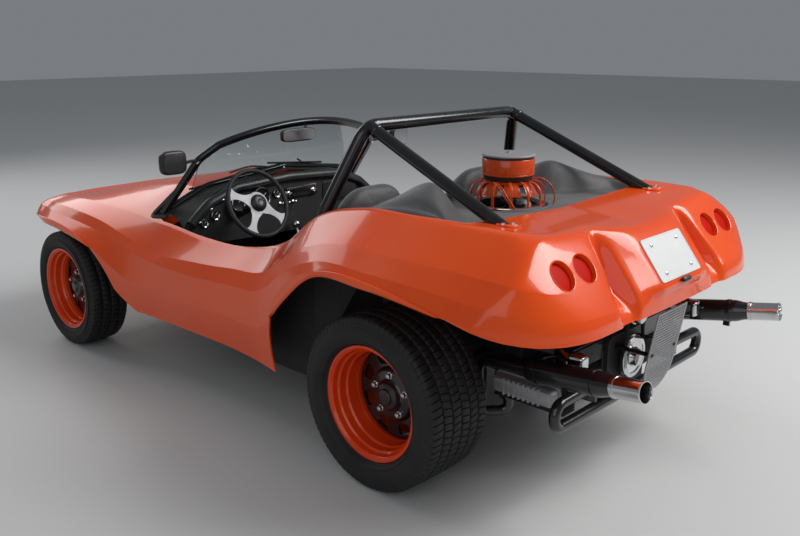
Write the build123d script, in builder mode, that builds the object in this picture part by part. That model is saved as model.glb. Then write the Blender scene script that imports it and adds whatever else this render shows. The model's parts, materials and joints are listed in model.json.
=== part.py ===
from build123d import *
import os
from math import cos, hypot, radians, sin, tan

os.makedirs("parts", exist_ok=True)

# Driving dimensions, in millimetres. The front faces -Y, +X is the car's left side, z = 0 is the ground.
WHEELBASE = 2167.0
REAR_AXLE_Y = 867.8          # puts the origin midway between the nose and the exhaust tips
FRONT_AXLE_Y = REAR_AXLE_Y - WHEELBASE
SKIN = 8.0                   # glass-fibre wall of the body
PANEL = 6.0                  # wall of the inner tub and panels
FIT = 0.3                    # gap where one fixed piece seats on another
RUNNING = 0.05               # radial clearance of a pin in its bore
SILL_Z = 285.0               # lower edge of the body sides
OPEN_BASE_Z = 180.0          # the body volume runs down to here before its lower edge is cut
FAR = 4000.0                 # longer than the car, for cutting shapes

# Wheels: name, tyre radius, tyre inner and outer x, rim radius, rim lip x
REAR_TYRE_R, REAR_TYRE_IN, REAR_TYRE_OUT = 315.0, 490.0, 785.0
FRONT_TYRE_R, FRONT_TYRE_IN, FRONT_TYRE_OUT = 294.0, 585.0, 790.0
LIP_R = 207.5                # outside of the rim's lip
REAR_LIP_X, FRONT_LIP_X = 761.0, 777.0


def aft(distance):
    """Row-frame Y of a point that lies this far behind the rear axle."""
    return REAR_AXLE_Y + distance


# Body sections, from nose to tail, one half of each. Distances aft are from the rear axle.
# aft, top z, hood x and z, crest x and z, rib x and z, edge x and z, lip x and z, sill x
BODY = (
    (-2625, 668, 320, 666, 470, 662, 545, 654, 580, 645, 605, 628, 600),
    (-2590, 700, 350, 697, 520, 690, 605, 678, 645, 662, 668, 632, 665),
    (-2450, 722, 380, 716, 575, 708, 665, 691, 700, 668, 738, 622, 735),
    (-2167, 776, 400, 765, 600, 727, 690, 693, 722, 655, 772, 612, 770),
    (-1880, 834, 370, 822, 600, 722, 690, 668, 716, 624, 764, 556, 760),
    (-1660, 880, 400, 852, 605, 716, 690, 624, 714, 584, 738, 450, 722),
    (-1450, 902, 420, 850, 618, 708, 692, 592, 716, 560, 722, 420, 704),
    (-1150, 900, 440, 822, 620, 684, 696, 602, 718, 550, 722, 420, 700),
    (-850, 900, 440, 810, 620, 692, 702, 628, 724, 566, 726, 430, 702),
    (-600, 905, 440, 850, 618, 756, 716, 664, 742, 596, 748, 450, 730),
    (-420, 910, 450, 898, 610, 886, 735, 770, 772, 706, 788, 600, 770),
    (-200, 920, 450, 930, 602, 948, 750, 844, 802, 792, 826, 752, 822),
    (50, 925, 450, 938, 602, 954, 753, 850, 812, 797, 836, 764, 832),
    (350, 924, 450, 942, 600, 956, 750, 848, 811, 787, 836, 738, 830),
    (600, 912, 440, 936, 578, 946, 738, 836, 796, 762, 818, 700, 812),
    (850, 896, 430, 918, 550, 920, 722, 812, 776, 736, 796, 662, 790),
)
CORNER_R = (160, 45, 10, 10, 25)      # rounding at the hood, crest, rib, edge and lip


def inset(points, wall):
    """Half outline moved inwards by one wall, with mitred corners."""
    moved = [(points[0][0], points[0][1] - wall)]
    for before, here, after in zip(points, points[1:], points[2:]):
        normals = []
        for a, b in ((before, here), (here, after)):
            length = hypot(b[0] - a[0], b[1] - a[1])
            normals.append(((b[1] - a[1]) / length, -(b[0] - a[0]) / length))
        share = 1 + normals[0][0] * normals[1][0] + normals[0][1] * normals[1][1]
        moved.append((here[0] + wall * (normals[0][0] + normals[1][0]) / share,
                      here[1] + wall * (normals[0][1] + normals[1][1]) / share))
    moved.append((points[-1][0] - wall, points[-1][1]))
    return moved


def body_volume(wall, base_z):
    """Closed volume under the body's outer surface, moved inwards by a wall."""
    with BuildPart() as volume:
        for row in BODY:
            outline = [(0, row[1])] + [(row[i], row[i + 1]) for i in (2, 4, 6, 8, 10)] + [(row[12], SILL_Z)]
            points = inset(outline, wall)
            nose_wall = wall if row is BODY[0] else 0
            with BuildSketch(Plane.XZ.offset(-aft(row[0] + nose_wall))):
                with BuildLine():
                    FilletPolyline(*points, radius=CORNER_R)
                    Polyline(points[-1], (points[-1][0], base_z), (0, base_z), points[0])
                make_face()
        loft()
        mirror(about=Plane.YZ)
    return volume.part


# The tail face leans back from the vertical, and its lowest strip is upright.
# A raised panel carries the plate, with a sloping facet and a groove on each side of it.
TAIL_LEAN = 37.0
TAIL_FACE_AFT, TAIL_FACE_Z = 615.0, 844.5     # a point of the slanted face
TAIL_CREASE_Z = 705.0                         # the upright strip begins here
TAIL_HALF = 872.0
TAIL_TOP_Z = 1100.0                           # above everything but the roll bar and the windscreen
PANEL_RISE = 45.0
# z, corner radius, panel x and rise, facet x and rise, groove floor x in and out and depth, groove edge x
TAIL = (
    (965, 130, 171, PANEL_RISE, 255, 3, 273, 288, 0, 303),
    (930, 166, 178, PANEL_RISE, 255, 3, 275, 297, 25, 311),
    (730, 374, 137, PANEL_RISE, 256, 5, 284, 340, 66, 369),
    (TAIL_CREASE_Z, 400, 133, 8, 256, 2, 284, 344, 40, 371),
    (655, 400, 130, 4, 256, 1, 286, 342, 10, 371),
    (80, 400, 130, 4, 256, 1, 286, 342, 10, 371),
)


def tail_aft(z):
    """How far aft the slanted tail face lies at a height."""
    return TAIL_FACE_AFT + (TAIL_FACE_Z - z) * tan(radians(TAIL_LEAN))


def tail_envelope(wall):
    """Everything ahead of the tail face, moved inwards by a wall."""
    with BuildPart() as envelope:
        for z, corner, panel_x, rise, facet_x, facet, floor_in, floor_out, depth, edge_x in TAIL:
            y = aft(tail_aft(max(z, TAIL_CREASE_Z)))
            half = inset([(0, y + rise), (panel_x, y + rise), (facet_x, y + facet), (floor_in, y - depth),
                          (floor_out, y - depth), (edge_x, y), (TAIL_HALF, y), (TAIL_HALF, y - FAR)],
                         wall / cos(radians(TAIL_LEAN)))
            with BuildSketch(Plane.XY.offset(z)):
                with BuildLine():
                    Polyline(*[(-x, v) for x, v in reversed(half[1:6])], *half[1:6])
                    for side in (-1, 1):
                        FilletPolyline(*[(side * x, v) for x, v in half[5:]], radius=corner - wall)
                    Line((half[-1][0], half[-1][1]), (-half[-1][0], half[-1][1]))
                make_face()
        loft(ruled=True)
    return envelope.part


lean = radians(TAIL_LEAN)
tail_normal = Vector(0, cos(lean), sin(lean))


def on_tail(x, z, proud):
    """Point at this x and height on the slanted tail face, stood off along its normal."""
    return Vector(x, aft(tail_aft(z)), z) + tail_normal * proud


body_outer = body_volume(0, OPEN_BASE_Z) & tail_envelope(0)
body_inner = body_volume(SKIN, OPEN_BASE_Z - 40) & tail_envelope(SKIN)

# Lower edge of the body at the sides, seen from the left: front opening, sill and rear arch
WELL_X = 425.0                # the wheel wells reach in to here
ARCHES = (
    ((-1585, 285), (-1660, 320), (-1738, 372)),
    ((-1738, 372), (-1840, 505), (-2000, 604)),
    ((-2000, 604), (-2230, 636), (-2460, 628)),
    ((-520, 285), (-534, 460), (-450, 612)),
    ((-450, 612), (-255, 733), (15, 770)),
    ((15, 770), (310, 738), (600, 674)),
)
TAIL_EDGE_Z = 660.0           # lower edge of the tail
NOSE_EDGE_Z = 600.0           # lower edge of the nose


def arc_row(group):
    """Three-point arcs of the arch table, as points in the side view."""
    for points in group:
        ThreePointArc(*[(aft(y), z) for y, z in points])


with BuildPart() as under_cut:
    with BuildSketch(Plane.YZ.offset(WELL_X)):
        with BuildLine():
            Line((aft(-2800), 620), (aft(-2460), 628))
            arc_row(reversed([points[::-1] for points in ARCHES[:3]]))
            Line((aft(-1585), SILL_Z), (aft(-520), SILL_Z))
            arc_row(ARCHES[3:])
            Polyline((aft(600), 674), (aft(690), TAIL_EDGE_Z), (aft(1100), TAIL_EDGE_Z),
                     (aft(1100), 0), (aft(-2800), 0), (aft(-2800), 620))
        make_face()
    extrude(amount=600)
    mirror(about=Plane.YZ)
    with Locations((0, aft(-2250), NOSE_EDGE_Z / 2)):
        Box(2 * WELL_X, 1200, NOSE_EDGE_Z)
    with Locations((0, aft(700), TAIL_EDGE_Z / 2)):
        Box(2 * WELL_X, 800, TAIL_EDGE_Z)
    with Locations((0, aft(-600), OPEN_BASE_Z)):
        Box(2 * WELL_X, 2200, 2 * 100)

# Opening over the cockpit and the engine, one half from the cowl to the deck: x, aft
OPENING = ((0, -1352), (330, -1385), (500, -1448), (590, -1530), (607, -1480), (607, -440), (583, -330),
           (568, 250), (425, 318), (0, 318))
FLANGE_DROP = 70.0            # the edge of the opening is turned down this far


def opening_prism(grow, low, high):
    """Upright prism over the opening, grown by a wall."""
    with BuildPart() as prism:
        with BuildSketch(Plane.XY.offset(low)):
            with BuildLine():
                half = [(x, aft(y)) for x, y in OPENING]
                Polyline(*half, *[(-x, y) for x, y in reversed(half[:-1])])
            make_face()
            if grow:
                offset(amount=grow, kind=Kind.INTERSECTION)
        extrude(amount=high - low)
    return prism.part


opening_cut = opening_prism(0, OPEN_BASE_Z - 100, TAIL_TOP_Z)
flange_ring = (opening_prism(SKIN, 400, TAIL_TOP_Z) - opening_prism(0, 390, TAIL_TOP_Z + 10)) & body_outer
flange_below = ((opening_prism(SKIN + 20, 300, TAIL_TOP_Z) - opening_prism(-20, 290, TAIL_TOP_Z + 10))
                & body_outer).moved(Location((0, 0, -FLANGE_DROP)))
shell = (body_outer - body_inner - under_cut.part - opening_cut) + (flange_ring - flange_below)


def above_skin(shape, rise):
    """What lies inside a shape and at least this far over the body's outer surface."""
    return shape - body_outer.moved(Location((0, 0, rise)))


def side_prism(profile, half_width, grow=0.0):
    """Side profile (aft, z) carried across the car, grown or shrunk by a wall."""
    with BuildPart() as prism:
        with BuildSketch(Plane.YZ.offset(-half_width - grow)):
            with BuildLine():
                Polyline(*[(aft(y), z) for y, z in profile], close=True)
            make_face()
            if grow:
                offset(amount=grow, kind=Kind.INTERSECTION)
        extrude(amount=2 * (half_width + grow))
    return prism.part


def plan_prism(half, grow, low, high):
    """Half plan outline (x, aft), mirrored and raised between two heights."""
    with BuildPart() as prism:
        with BuildSketch(Plane.XY.offset(low)):
            with BuildLine():
                points = [(x, aft(y)) for x, y in half]
                Polyline(*points, *[(-x, y) for x, y in reversed(points) if x], close=True)
            make_face()
            if grow:
                offset(amount=grow, kind=Kind.INTERSECTION)
        extrude(amount=high - low)
    return prism.part


def tube(points, bend, radius, bore=0.0):
    """Round tube along straight runs joined by bends."""
    with BuildPart() as run:
        with BuildLine() as route:
            FilletPolyline(*points, radius=bend) if len(points) > 2 else Line(*points)
        with BuildSketch(Plane(origin=points[0], z_dir=Vector(*points[1]) - Vector(*points[0]))):
            Circle(radius)
            if bore:
                Circle(bore, mode=Mode.SUBTRACT)
        sweep(path=route.wires()[0])
    return run.part


def rod(start, end, radius):
    """Straight round bar between two points."""
    with BuildPart() as bar:
        length = (Vector(*end) - Vector(*start)).length
        with BuildSketch(Plane(origin=start, z_dir=Vector(*end) - Vector(*start))):
            Circle(radius)
        extrude(amount=length)
    return bar.part


def box(low, high):
    """Box between two corners."""
    with BuildPart() as block:
        with Locations(tuple((a + b) / 2 for a, b in zip(low, high))):
            Box(*(b - a for a, b in zip(low, high)))
    return block.part


def save(piece, name):
    """Label a finished piece and write its file."""
    piece.label = name
    export_step(piece, f"parts/{name}.step")


# Round cups for the tail lamps, let into the tail face
TAIL_LAMPS = (435.0, 554.0)
TAIL_LAMP_Z, TAIL_LAMP_R = 844.5, 49.0
CUP_DEPTH, CUP_WALL = 26.0, 5.0


def lamp_rods(radius, low, high):
    """A rod across the tail face at each lamp, between two distances from the face."""
    return [rod(tuple(on_tail(side * x, TAIL_LAMP_Z, low)), tuple(on_tail(side * x, TAIL_LAMP_Z, high)), radius)
            for side in (-1, 1) for x in TAIL_LAMPS]


with BuildPart() as body_shell:
    add(shell)
    for cup in lamp_rods(TAIL_LAMP_R + CUP_WALL, -CUP_DEPTH - CUP_WALL, -2):
        add(cup)
    for bore in lamp_rods(TAIL_LAMP_R, -CUP_DEPTH, 60):
        add(bore, mode=Mode.SUBTRACT)
save(body_shell.part, "body_shell")

# Inner tub of the cabin: floor, sides, footwell, back wall and centre tunnel
FLOOR_Z = 235.0
TUB_PLAN = ((0, -1950), (398, -1950), (398, -1650), (580, -1545), (606.7, -1480), (606.7, -440), (582.7, -330),
            (571, -205), (0, -205))
TUB_SIDE = ((-1950, FLOOR_Z), (-500, FLOOR_Z), (-240, 640), (-212, 900), (-300, 896), (-420, 858), (-600, 732),
            (-850, 670), (-1150, 664), (-1430, 684), (-1500, 645), (-1600, 645), (-1700, 765), (-1950, 775))
TUNNEL_X, TUNNEL_H = 78.0, 125.0
TUB_HOLLOW = ((-1944, FLOOR_Z + PANEL), (-503, FLOOR_Z + PANEL), (-246, 641), (-219, 1200), (-1944, 1200))
tub_outside = plan_prism(TUB_PLAN, 0, 200, 1150) & side_prism(TUB_SIDE, 700)
tub_inside = plan_prism(TUB_PLAN, -PANEL, 205, 1145) & side_prism(TUB_HOLLOW, 700)
with BuildPart() as cockpit_tub:
    add(tub_outside - tub_inside)
    add(box((-TUNNEL_X, aft(-1947), FLOOR_Z + 2), (TUNNEL_X, aft(-560), FLOOR_Z + PANEL + TUNNEL_H)))
save(cockpit_tub.part, "cockpit_tub")

# Pan behind the nose, between the front wheels
PAN_X = 418.0
PAN_SIDE = ((-2616.7, 650), (-2616.7, 585), (-2480, 450), (-1950.3, 450), (-1950.3, 775), (-2167, 742), (-2450, 695))
PAN_HOLLOW = ((-2610.7, 900), (-2610.7, 588), (-2477, 456), (-1956.3, 456), (-1956.3, 900))
with BuildPart() as front_pan:
    add(side_prism(PAN_SIDE, PAN_X) - side_prism(PAN_HOLLOW, PAN_X - PANEL))
save(front_pan.part, "front_pan")

# Roll bar: one hoop with two stays to the rear deck
HOOP_R, STAY_R = 25.0, 22.5
HOOP_X, HOOP_AFT = 570.0, -425.0
TOP_X, TOP_AFT, TOP_Z = 452.0, -312.0, 1212.5
FOOT_X, FOOT_AFT, FOOT_Z = 476.5, 348.5, 942.0
LEG_END_Z = 300.0
tub_slope = side_prism(((-700, 0), (-700, FLOOR_Z + PANEL + FIT), (-503.2, FLOOR_Z + PANEL + FIT), (-246.2, 641),
                        (-246.2, 0)), 700)
stay_ends = [((side * 432, aft(-308), TOP_Z - 2), (side * FOOT_X, aft(FOOT_AFT), FOOT_Z)) for side in (-1, 1)]
with BuildPart() as roll_bar:
    side_route = [(HOOP_X, aft(HOOP_AFT), LEG_END_Z), (HOOP_X, aft(HOOP_AFT), 885), (TOP_X, aft(TOP_AFT), TOP_Z)]
    add(tube(side_route + [(-x, y, z) for x, y, z in reversed(side_route)], (200, 80, 80, 200), HOOP_R) - tub_slope)
    for side in (-1, 1):
        add(above_skin(rod(*stay_ends[side > 0], STAY_R), FIT))
        add(above_skin(box((side * FOOT_X - 38, aft(FOOT_AFT) - 30, 880), (side * FOOT_X + 38, aft(FOOT_AFT) + 45, 948)),
                       FIT))
save(roll_bar.part, "roll_bar")

# Vinyl-covered surround of the engine hole, behind the seats. aft, centre z, hump z, edge z
COVER = (
    (-203, 895, 1015, 932),
    (-120, 897, 1033, 938),
    (0, 900, 1016, 944),
    (110, 903, 985, 944),
    (220, 906, 962, 942),
    (318, 908, 938, 930),
)
COVER_BASE_Z = 860.0
COVER_HOLE_R = 150.0
with BuildPart() as cover_form:
    for y, centre_z, hump_z, edge_z in COVER:
        with BuildSketch(Plane.XZ.offset(-aft(y))):
            with BuildLine():
                rise = hump_z - centre_z
                FilletPolyline((0, centre_z), (230, centre_z + 1), (350, centre_z + 0.55 * rise), (450, hump_z),
                               (525, (hump_z + edge_z) / 2 + 4), (620, edge_z), radius=(90, 60, 45, 40))
                Polyline((620, edge_z), (620, COVER_BASE_Z), (0, COVER_BASE_Z), (0, centre_z))
            make_face()
    loft()
    mirror(about=Plane.YZ)
with BuildPart() as rear_cover:
    add(cover_form.part & opening_prism(-FIT, 800, TAIL_TOP_Z))
    with Locations((0, aft(0), COVER_BASE_Z - 10)):
        Cylinder(COVER_HOLE_R, 400, mode=Mode.SUBTRACT)
    for ends in stay_ends:
        add(rod(*ends, STAY_R + FIT), mode=Mode.SUBTRACT)
save(rear_cover.part, "rear_cover")

# Inner walls beside the rear wheels
WALL_X = 478.0
with BuildPart() as rear_panels:
    for side in (-1, 1):
        low, high = sorted((side * WALL_X, side * (WALL_X - PANEL)))
        add(box((low, aft(-204), 560), (high, aft(545), COVER_BASE_Z - FIT)))
save(rear_panels.part, "rear_panels")

# Windscreen: a flat pane leaning back from the foot line of its posts
SCREEN_FOOT = (0, aft(-1560), 700)
SCREEN_RAKE = radians(47.5)
SCREEN = Plane(origin=SCREEN_FOOT, x_dir=(1, 0, 0), z_dir=(0, -sin(SCREEN_RAKE), cos(SCREEN_RAKE)))
FRAME_W, FRAME_T, GLASS_T, COWL_RAIL = 34.0, 26.0, 5.0, 34.0


def screen_slab(grow, thick):
    """Slab of the windscreen's outline in its own plane."""
    with BuildPart() as slab:
        with BuildSketch(SCREEN):
            with BuildLine():
                Polyline((0, -80), (610, -80), (546, 425), (474, 514))
                ThreePointArc((474, 514), (0, 622), (-474, 514))
                Polyline((-474, 514), (-546, 425), (-610, -80), (0, -80))
            make_face()
            if grow:
                offset(amount=grow, kind=Kind.INTERSECTION)
        extrude(amount=thick / 2, both=True)
    return slab.part


frame_out = screen_slab(0, FRAME_T)
cowl_strip = frame_out & body_outer.moved(Location((0, 0, COWL_RAIL)))
with BuildPart() as windscreen_frame:
    add(above_skin((frame_out - screen_slab(-FRAME_W, FRAME_T + 10)) + cowl_strip, FIT))
save(windscreen_frame.part, "windscreen_frame")
with BuildPart() as windscreen_glass:
    add(above_skin(screen_slab(-FRAME_W - FIT, GLASS_T), COWL_RAIL + FIT))
save(windscreen_glass.part, "windscreen_glass")

# Dashboard with a padded roll, a gauge pod and the place for the column
WHEEL_X, WHEEL_AFT, WHEEL_Z = 330.0, -1131.0, 806.0
COLUMN_RISE = radians(25)
COLUMN_R = 19.0
SHAFT_R, SHAFT_L = 9.0, 45.0
column_dir = Vector(0, cos(COLUMN_RISE), sin(COLUMN_RISE))
wheel_centre = Vector(WHEEL_X, aft(WHEEL_AFT), WHEEL_Z)
wheel_plane = Plane(origin=wheel_centre, x_dir=(1, 0, 0), z_dir=column_dir)
COLUMN_START = 40.0           # the column's mouth lies this far behind the wheel's centre
COLUMN_L = 845.0
DASH_AFT, DASH_T = -1340.0, 28.0
column_start = wheel_centre - column_dir * COLUMN_START
column_end = column_start - column_dir * COLUMN_L
DASH = ((0, 878), (320, 862), (480, 806), (586, 712), (600.4, 690), (600.4, 615), (0, 600))
with BuildPart() as dashboard:
    with BuildSketch(Plane.XZ.offset(-aft(DASH_AFT))):
        with BuildLine():
            Polyline(*DASH, *[(-x, z) for x, z in reversed(DASH) if x], close=True)
        make_face()
    extrude(amount=-DASH_T)
    roll = [(566, 716), (466, 798), (310, 852), (0, 868)]
    add(tube([(x, aft(DASH_AFT + DASH_T), z) for x, z in roll + [(-x, z) for x, z in roll[-2::-1]]],
             (120, 160, 500, 160, 120), 24))
    with Locations(Plane(origin=(WHEEL_X, aft(DASH_AFT + DASH_T), 808), z_dir=(0, 1, 0))):
        Cylinder(50, 40, align=(Align.CENTER, Align.CENTER, Align.MIN))
    add(rod(tuple(column_start), tuple(column_end), COLUMN_R + FIT), mode=Mode.SUBTRACT)
save(dashboard.part, "dashboard")

with BuildPart() as steering_column:
    add(rod(tuple(column_start), tuple(column_end), COLUMN_R))
    add(rod(tuple(column_start), tuple(column_start - column_dir * (SHAFT_L + 5)), SHAFT_R + RUNNING),
        mode=Mode.SUBTRACT)
save(steering_column.part, "steering_column")

RIM_OUT, RIM_TUBE = 175.0, 13.0
HUB_R, HUB_H = 40.0, 26.0
SPOKE_T = 5.0
SPOKE_TURN = -15.0
with BuildPart() as steering_wheel:
    with Locations(wheel_plane):
        Torus(RIM_OUT - RIM_TUBE, RIM_TUBE)
        Cylinder(HUB_R, HUB_H)
    with BuildSketch(wheel_plane.offset(-SPOKE_T / 2)):
        reach = RIM_OUT - RIM_TUBE
        for turn in (0, 120, 240):
            Polygon((20, -26), (110, -17), (reach, -30), (reach, 30), (110, 17), (20, 26),
                    rotation=SPOKE_TURN - 90 + turn, align=None)
    extrude(amount=SPOKE_T)
    add(rod(tuple(wheel_centre), tuple(column_start - column_dir * SHAFT_L), SHAFT_R))
save(steering_wheel.part, "steering_wheel")

with BuildPart() as gear_lever:
    with Locations((0, aft(-1185), FLOOR_Z + PANEL + TUNNEL_H + FIT)):
        Cone(32, 12, 30, align=(Align.CENTER, Align.CENTER, Align.MIN))
    add(rod((0, aft(-1187), FLOOR_Z + PANEL + TUNNEL_H + 12), (0, aft(-1270), 638), 6))
    with Locations((0, aft(-1270), 638)):
        Sphere(21)
save(gear_lever.part, "gear_lever")

# Pedals: x, aft and z of each pad
PEDALS = ((284, -1700, 540), (183, -1700, 530), (112, -1690, 470))
with BuildPart() as pedals:
    for x, y, z in PEDALS:
        with Locations(Location((x, aft(y), z), (20, 0, 0))):
            Box(44, 9, 70)
        add(rod((x, aft(y), z - 10), (x, aft(y + 30), FLOOR_Z + PANEL + 9), 7))
    add(box((95, aft(-1690), FLOOR_Z + PANEL + FIT), (305, aft(-1640), FLOOR_Z + PANEL + 12)))
save(pedals.part, "pedals")

# Bucket seats: side profile (aft, z) and the width between the tunnel and the side
SEAT = ((-1010, 252), (-1018, 405), (-985, 442), (-720, 408), (-622, 402), (-470, 925), (-430, 968), (-385, 972),
        (-362, 940), (-500, 420), (-560, 252))
SEAT_X, SEAT_W = 300.0, 408.0
with BuildPart() as seat_left:
    with BuildSketch(Plane.YZ.offset(SEAT_X - SEAT_W / 2)):
        with BuildLine():
            FilletPolyline(*[(aft(y), z) for y, z in SEAT], radius=15, close=True)
        make_face()
    extrude(amount=SEAT_W)
    with Locations((SEAT_X, aft(-790), (FLOOR_Z + PANEL + 252) / 2)):
        Box(SEAT_W - 80, 380, 252 - FLOOR_Z - PANEL)
with BuildPart() as seat_right:
    add(seat_left.part)
    mirror(about=Plane.YZ, mode=Mode.REPLACE)
save(seat_left.part, "seat_left")
save(seat_right.part, "seat_right")

# Mirrors
MIRROR = (690.0, -1226.0, 1015.0)
with BuildPart() as door_mirrors:
    for side in (-1, 1):
        with Locations((side * MIRROR[0], aft(MIRROR[1]), MIRROR[2])):
            Box(118, 46, 96)
        add(rod((side * 532, aft(-1283), 1003), (side * (MIRROR[0] - 40), aft(MIRROR[1]), MIRROR[2] - 10), 7))
door_mirrors_part = door_mirrors.part - screen_slab(FIT, FRAME_T + 2 * FIT)
save(door_mirrors_part, "door_mirrors")
with BuildPart() as cabin_mirror:
    with Locations((30, aft(-1128), 1088)):
        Box(190, 22, 58)
    add(rod((30, aft(-1128), 1095), (0, aft(-1150), 1136), 6))
cabin_mirror_part = cabin_mirror.part - screen_slab(FIT, FRAME_T + 2 * FIT)
save(cabin_mirror_part, "cabin_mirror")

# Engine behind the axle: crankcase, finned barrels, heads and rocker covers
CRANK_X, CRANK_AFT, CRANK_Z = 130.0, (90.0, 545.0), (262.0, 520.0)
BARREL_R, BARREL_Z = 46.0, 383.0
FIN_R, FIN_T, FIN_PITCH, FINS = 63.0, 5.0, 30.0, 6
BARREL_AFT = (340.0, 470.0)
HEAD_X = (330.0, 405.0)
ROCKER_X = 452.0
DUCT_R, DUCT_TOP = 118.0, 893.0
PULLEY_R, PULLEY_Z = 76.0, 428.0
GENERATOR_Z = 600.0
with BuildPart() as engine:
    add(box((-CRANK_X, aft(CRANK_AFT[0]), CRANK_Z[0]), (CRANK_X, aft(CRANK_AFT[1]), CRANK_Z[1])))
    for side in (-1, 1):
        for y in BARREL_AFT:
            add(rod((side * (CRANK_X - 10), aft(y), BARREL_Z), (side * (HEAD_X[0] + 5), aft(y), BARREL_Z), BARREL_R))
            for fin in range(FINS):
                x = CRANK_X + 18 + fin * FIN_PITCH
                add(rod((side * x, aft(y), BARREL_Z), (side * (x + FIN_T), aft(y), BARREL_Z), FIN_R))
            add(rod((side * (CRANK_X - 10), aft(y - 20), BARREL_Z - 76), (side * (HEAD_X[0] + 5), aft(y - 20),
                                                                        BARREL_Z - 62), 11))
        low, high = sorted((side * HEAD_X[0], side * HEAD_X[1]))
        add(box((low, aft(BARREL_AFT[0] - 78), BARREL_Z - 68), (high, aft(BARREL_AFT[1] + 78), BARREL_Z + 68)))
        low, high = sorted((side * (HEAD_X[1] - 1), side * ROCKER_X))
        add(box((low, aft(BARREL_AFT[0] - 66), BARREL_Z - 38), (high, aft(BARREL_AFT[1] + 70), BARREL_Z + 38)))
    add(box((-HEAD_X[0], aft(120), CRANK_Z[1] - 8), (HEAD_X[0], aft(530), CRANK_Z[1] + 12)))
    add(box((-120, aft(-100), CRANK_Z[1] - 60), (120, aft(300), 700)))
    with Locations((0, aft(0), (600 + DUCT_TOP) / 2)):
        Cylinder(DUCT_R, DUCT_TOP - 600)
    with Locations(Plane(origin=(0, aft(CRANK_AFT[1]), PULLEY_Z), z_dir=(0, 1, 0))):
        Cylinder(30, 50, align=(Align.CENTER, Align.CENTER, Align.MIN))
        with Locations((0, 0, 18)):
            Cylinder(PULLEY_R, 14, align=(Align.CENTER, Align.CENTER, Align.MIN))
    with Locations(Plane(origin=(0, aft(440), GENERATOR_Z), z_dir=(0, 1, 0))):
        Cylinder(52, 150, align=(Align.CENTER, Align.CENTER, Align.MIN))
        with Locations((0, 0, 130)):
            Cylinder(46, 30, align=(Align.CENTER, Align.CENTER, Align.MIN))
    add(box((-40, aft(450), CRANK_Z[1]), (40, aft(530), GENERATOR_Z - 30)))
    add(rod((95, aft(500), CRANK_Z[1] - 5), (95, aft(500), 618), 26))
    add(rod((95, aft(500), 612), (95, aft(500), 630), 33))
save(engine.part, "engine")

# Intake cage: ring and curved ribs under the air cleaner
CAGE_RIBS, CAGE_R, CAGE_TOP_R, CAGE_TOP_Z = 12, 136.0, 82.0, 1000.0
CAGE_PLATE = 14.0
RIB_R = 7.0
with BuildPart() as intake_cage:
    with Locations((0, aft(0), DUCT_TOP + FIT + 8)):
        Cylinder(CAGE_R + 8, 16)
        Cylinder(CAGE_R - 22, 16, mode=Mode.SUBTRACT)
    with Locations((0, aft(0), CAGE_TOP_Z - CAGE_PLATE / 2)):
        Cylinder(CAGE_TOP_R + 6, CAGE_PLATE)
    for turn in range(CAGE_RIBS):
        a = radians(360 / CAGE_RIBS * (turn + 0.5))
        foot = (CAGE_R * cos(a), aft(0) + CAGE_R * sin(a), DUCT_TOP + 6)
        knee = (CAGE_R * cos(a), aft(0) + CAGE_R * sin(a), CAGE_TOP_Z - 26)
        head = (CAGE_TOP_R * cos(a), aft(0) + CAGE_TOP_R * sin(a), CAGE_TOP_Z - 8)
        add(tube([foot, knee, head], 34, RIB_R))
save(intake_cage.part, "intake_cage")

CLEANER_R, CLEANER_Z = 100.0, (CAGE_TOP_Z + FIT, 1103.0)
with BuildPart() as air_cleaner:
    with Locations((0, aft(0), sum(CLEANER_Z) / 2)):
        Cylinder(CLEANER_R, CLEANER_Z[1] - CLEANER_Z[0])
    fillet(air_cleaner.part.edges().filter_by(GeomType.CIRCLE), radius=8)
save(air_cleaner.part, "air_cleaner")

# Belt guard: sheet with a rounded foot behind the pulleys
GUARD_X, GUARD_T = 105.0, 4.0
with BuildPart() as belt_guard:
    with BuildSketch(Plane(origin=(0, aft(655), 330), x_dir=(1, 0, 0), z_dir=(0, 1, -0.16))):
        with BuildLine():
            Polyline((-GUARD_X, -GUARD_X), (-GUARD_X, -310), (GUARD_X, -310), (GUARD_X, -GUARD_X))
            ThreePointArc((GUARD_X, -GUARD_X), (0, 0), (-GUARD_X, -GUARD_X))
        make_face()
    extrude(amount=GUARD_T)
    for side in (-1, 1):
        add(rod((side * 80, aft(CRANK_AFT[1] + FIT), 480), (side * 80, aft(680), 480), 8))
save(belt_guard.part, "belt_guard")

# Exhausts: header, muffler and tip on each side
TIP_END = Vector(512, aft(883), 540)
PIPE_DIR = Vector(0.132, 1, 0.154).normalized()
MUFFLER_R, TIP_R, PIPE_R = 41.0, 33.0, 19.0
MUFFLER_L, CONE_L, TIP_L = 300.0, 50.0, 100.0
TIP_BORE = 30.0
with BuildPart() as exhaust_left:
    back = Plane(origin=TIP_END - PIPE_DIR * (MUFFLER_L + CONE_L + TIP_L), z_dir=PIPE_DIR)
    with BuildSketch(back):
        Circle(MUFFLER_R)
    extrude(amount=MUFFLER_L)
    with BuildSketch(back.offset(MUFFLER_L)):
        Circle(MUFFLER_R)
    with BuildSketch(back.offset(MUFFLER_L + CONE_L)):
        Circle(TIP_R - 3)
    loft()
    with BuildSketch(back.offset(MUFFLER_L + CONE_L)):
        Circle(TIP_R)
    extrude(amount=TIP_L)
    with BuildSketch(back.offset(MUFFLER_L + CONE_L + 10)):
        Circle(TIP_BORE)
    extrude(amount=TIP_L, mode=Mode.SUBTRACT)
    start = TIP_END - PIPE_DIR * (MUFFLER_L + CONE_L + TIP_L - 5)
    add(tube([(368, aft(300), BARREL_Z - 68 - FIT), (368, aft(300), 258), (440, aft(236), 258), (443, aft(236), 455),
              tuple(start)], (28, 30, 40), PIPE_R))
save(exhaust_left.part, "exhaust_left")
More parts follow.
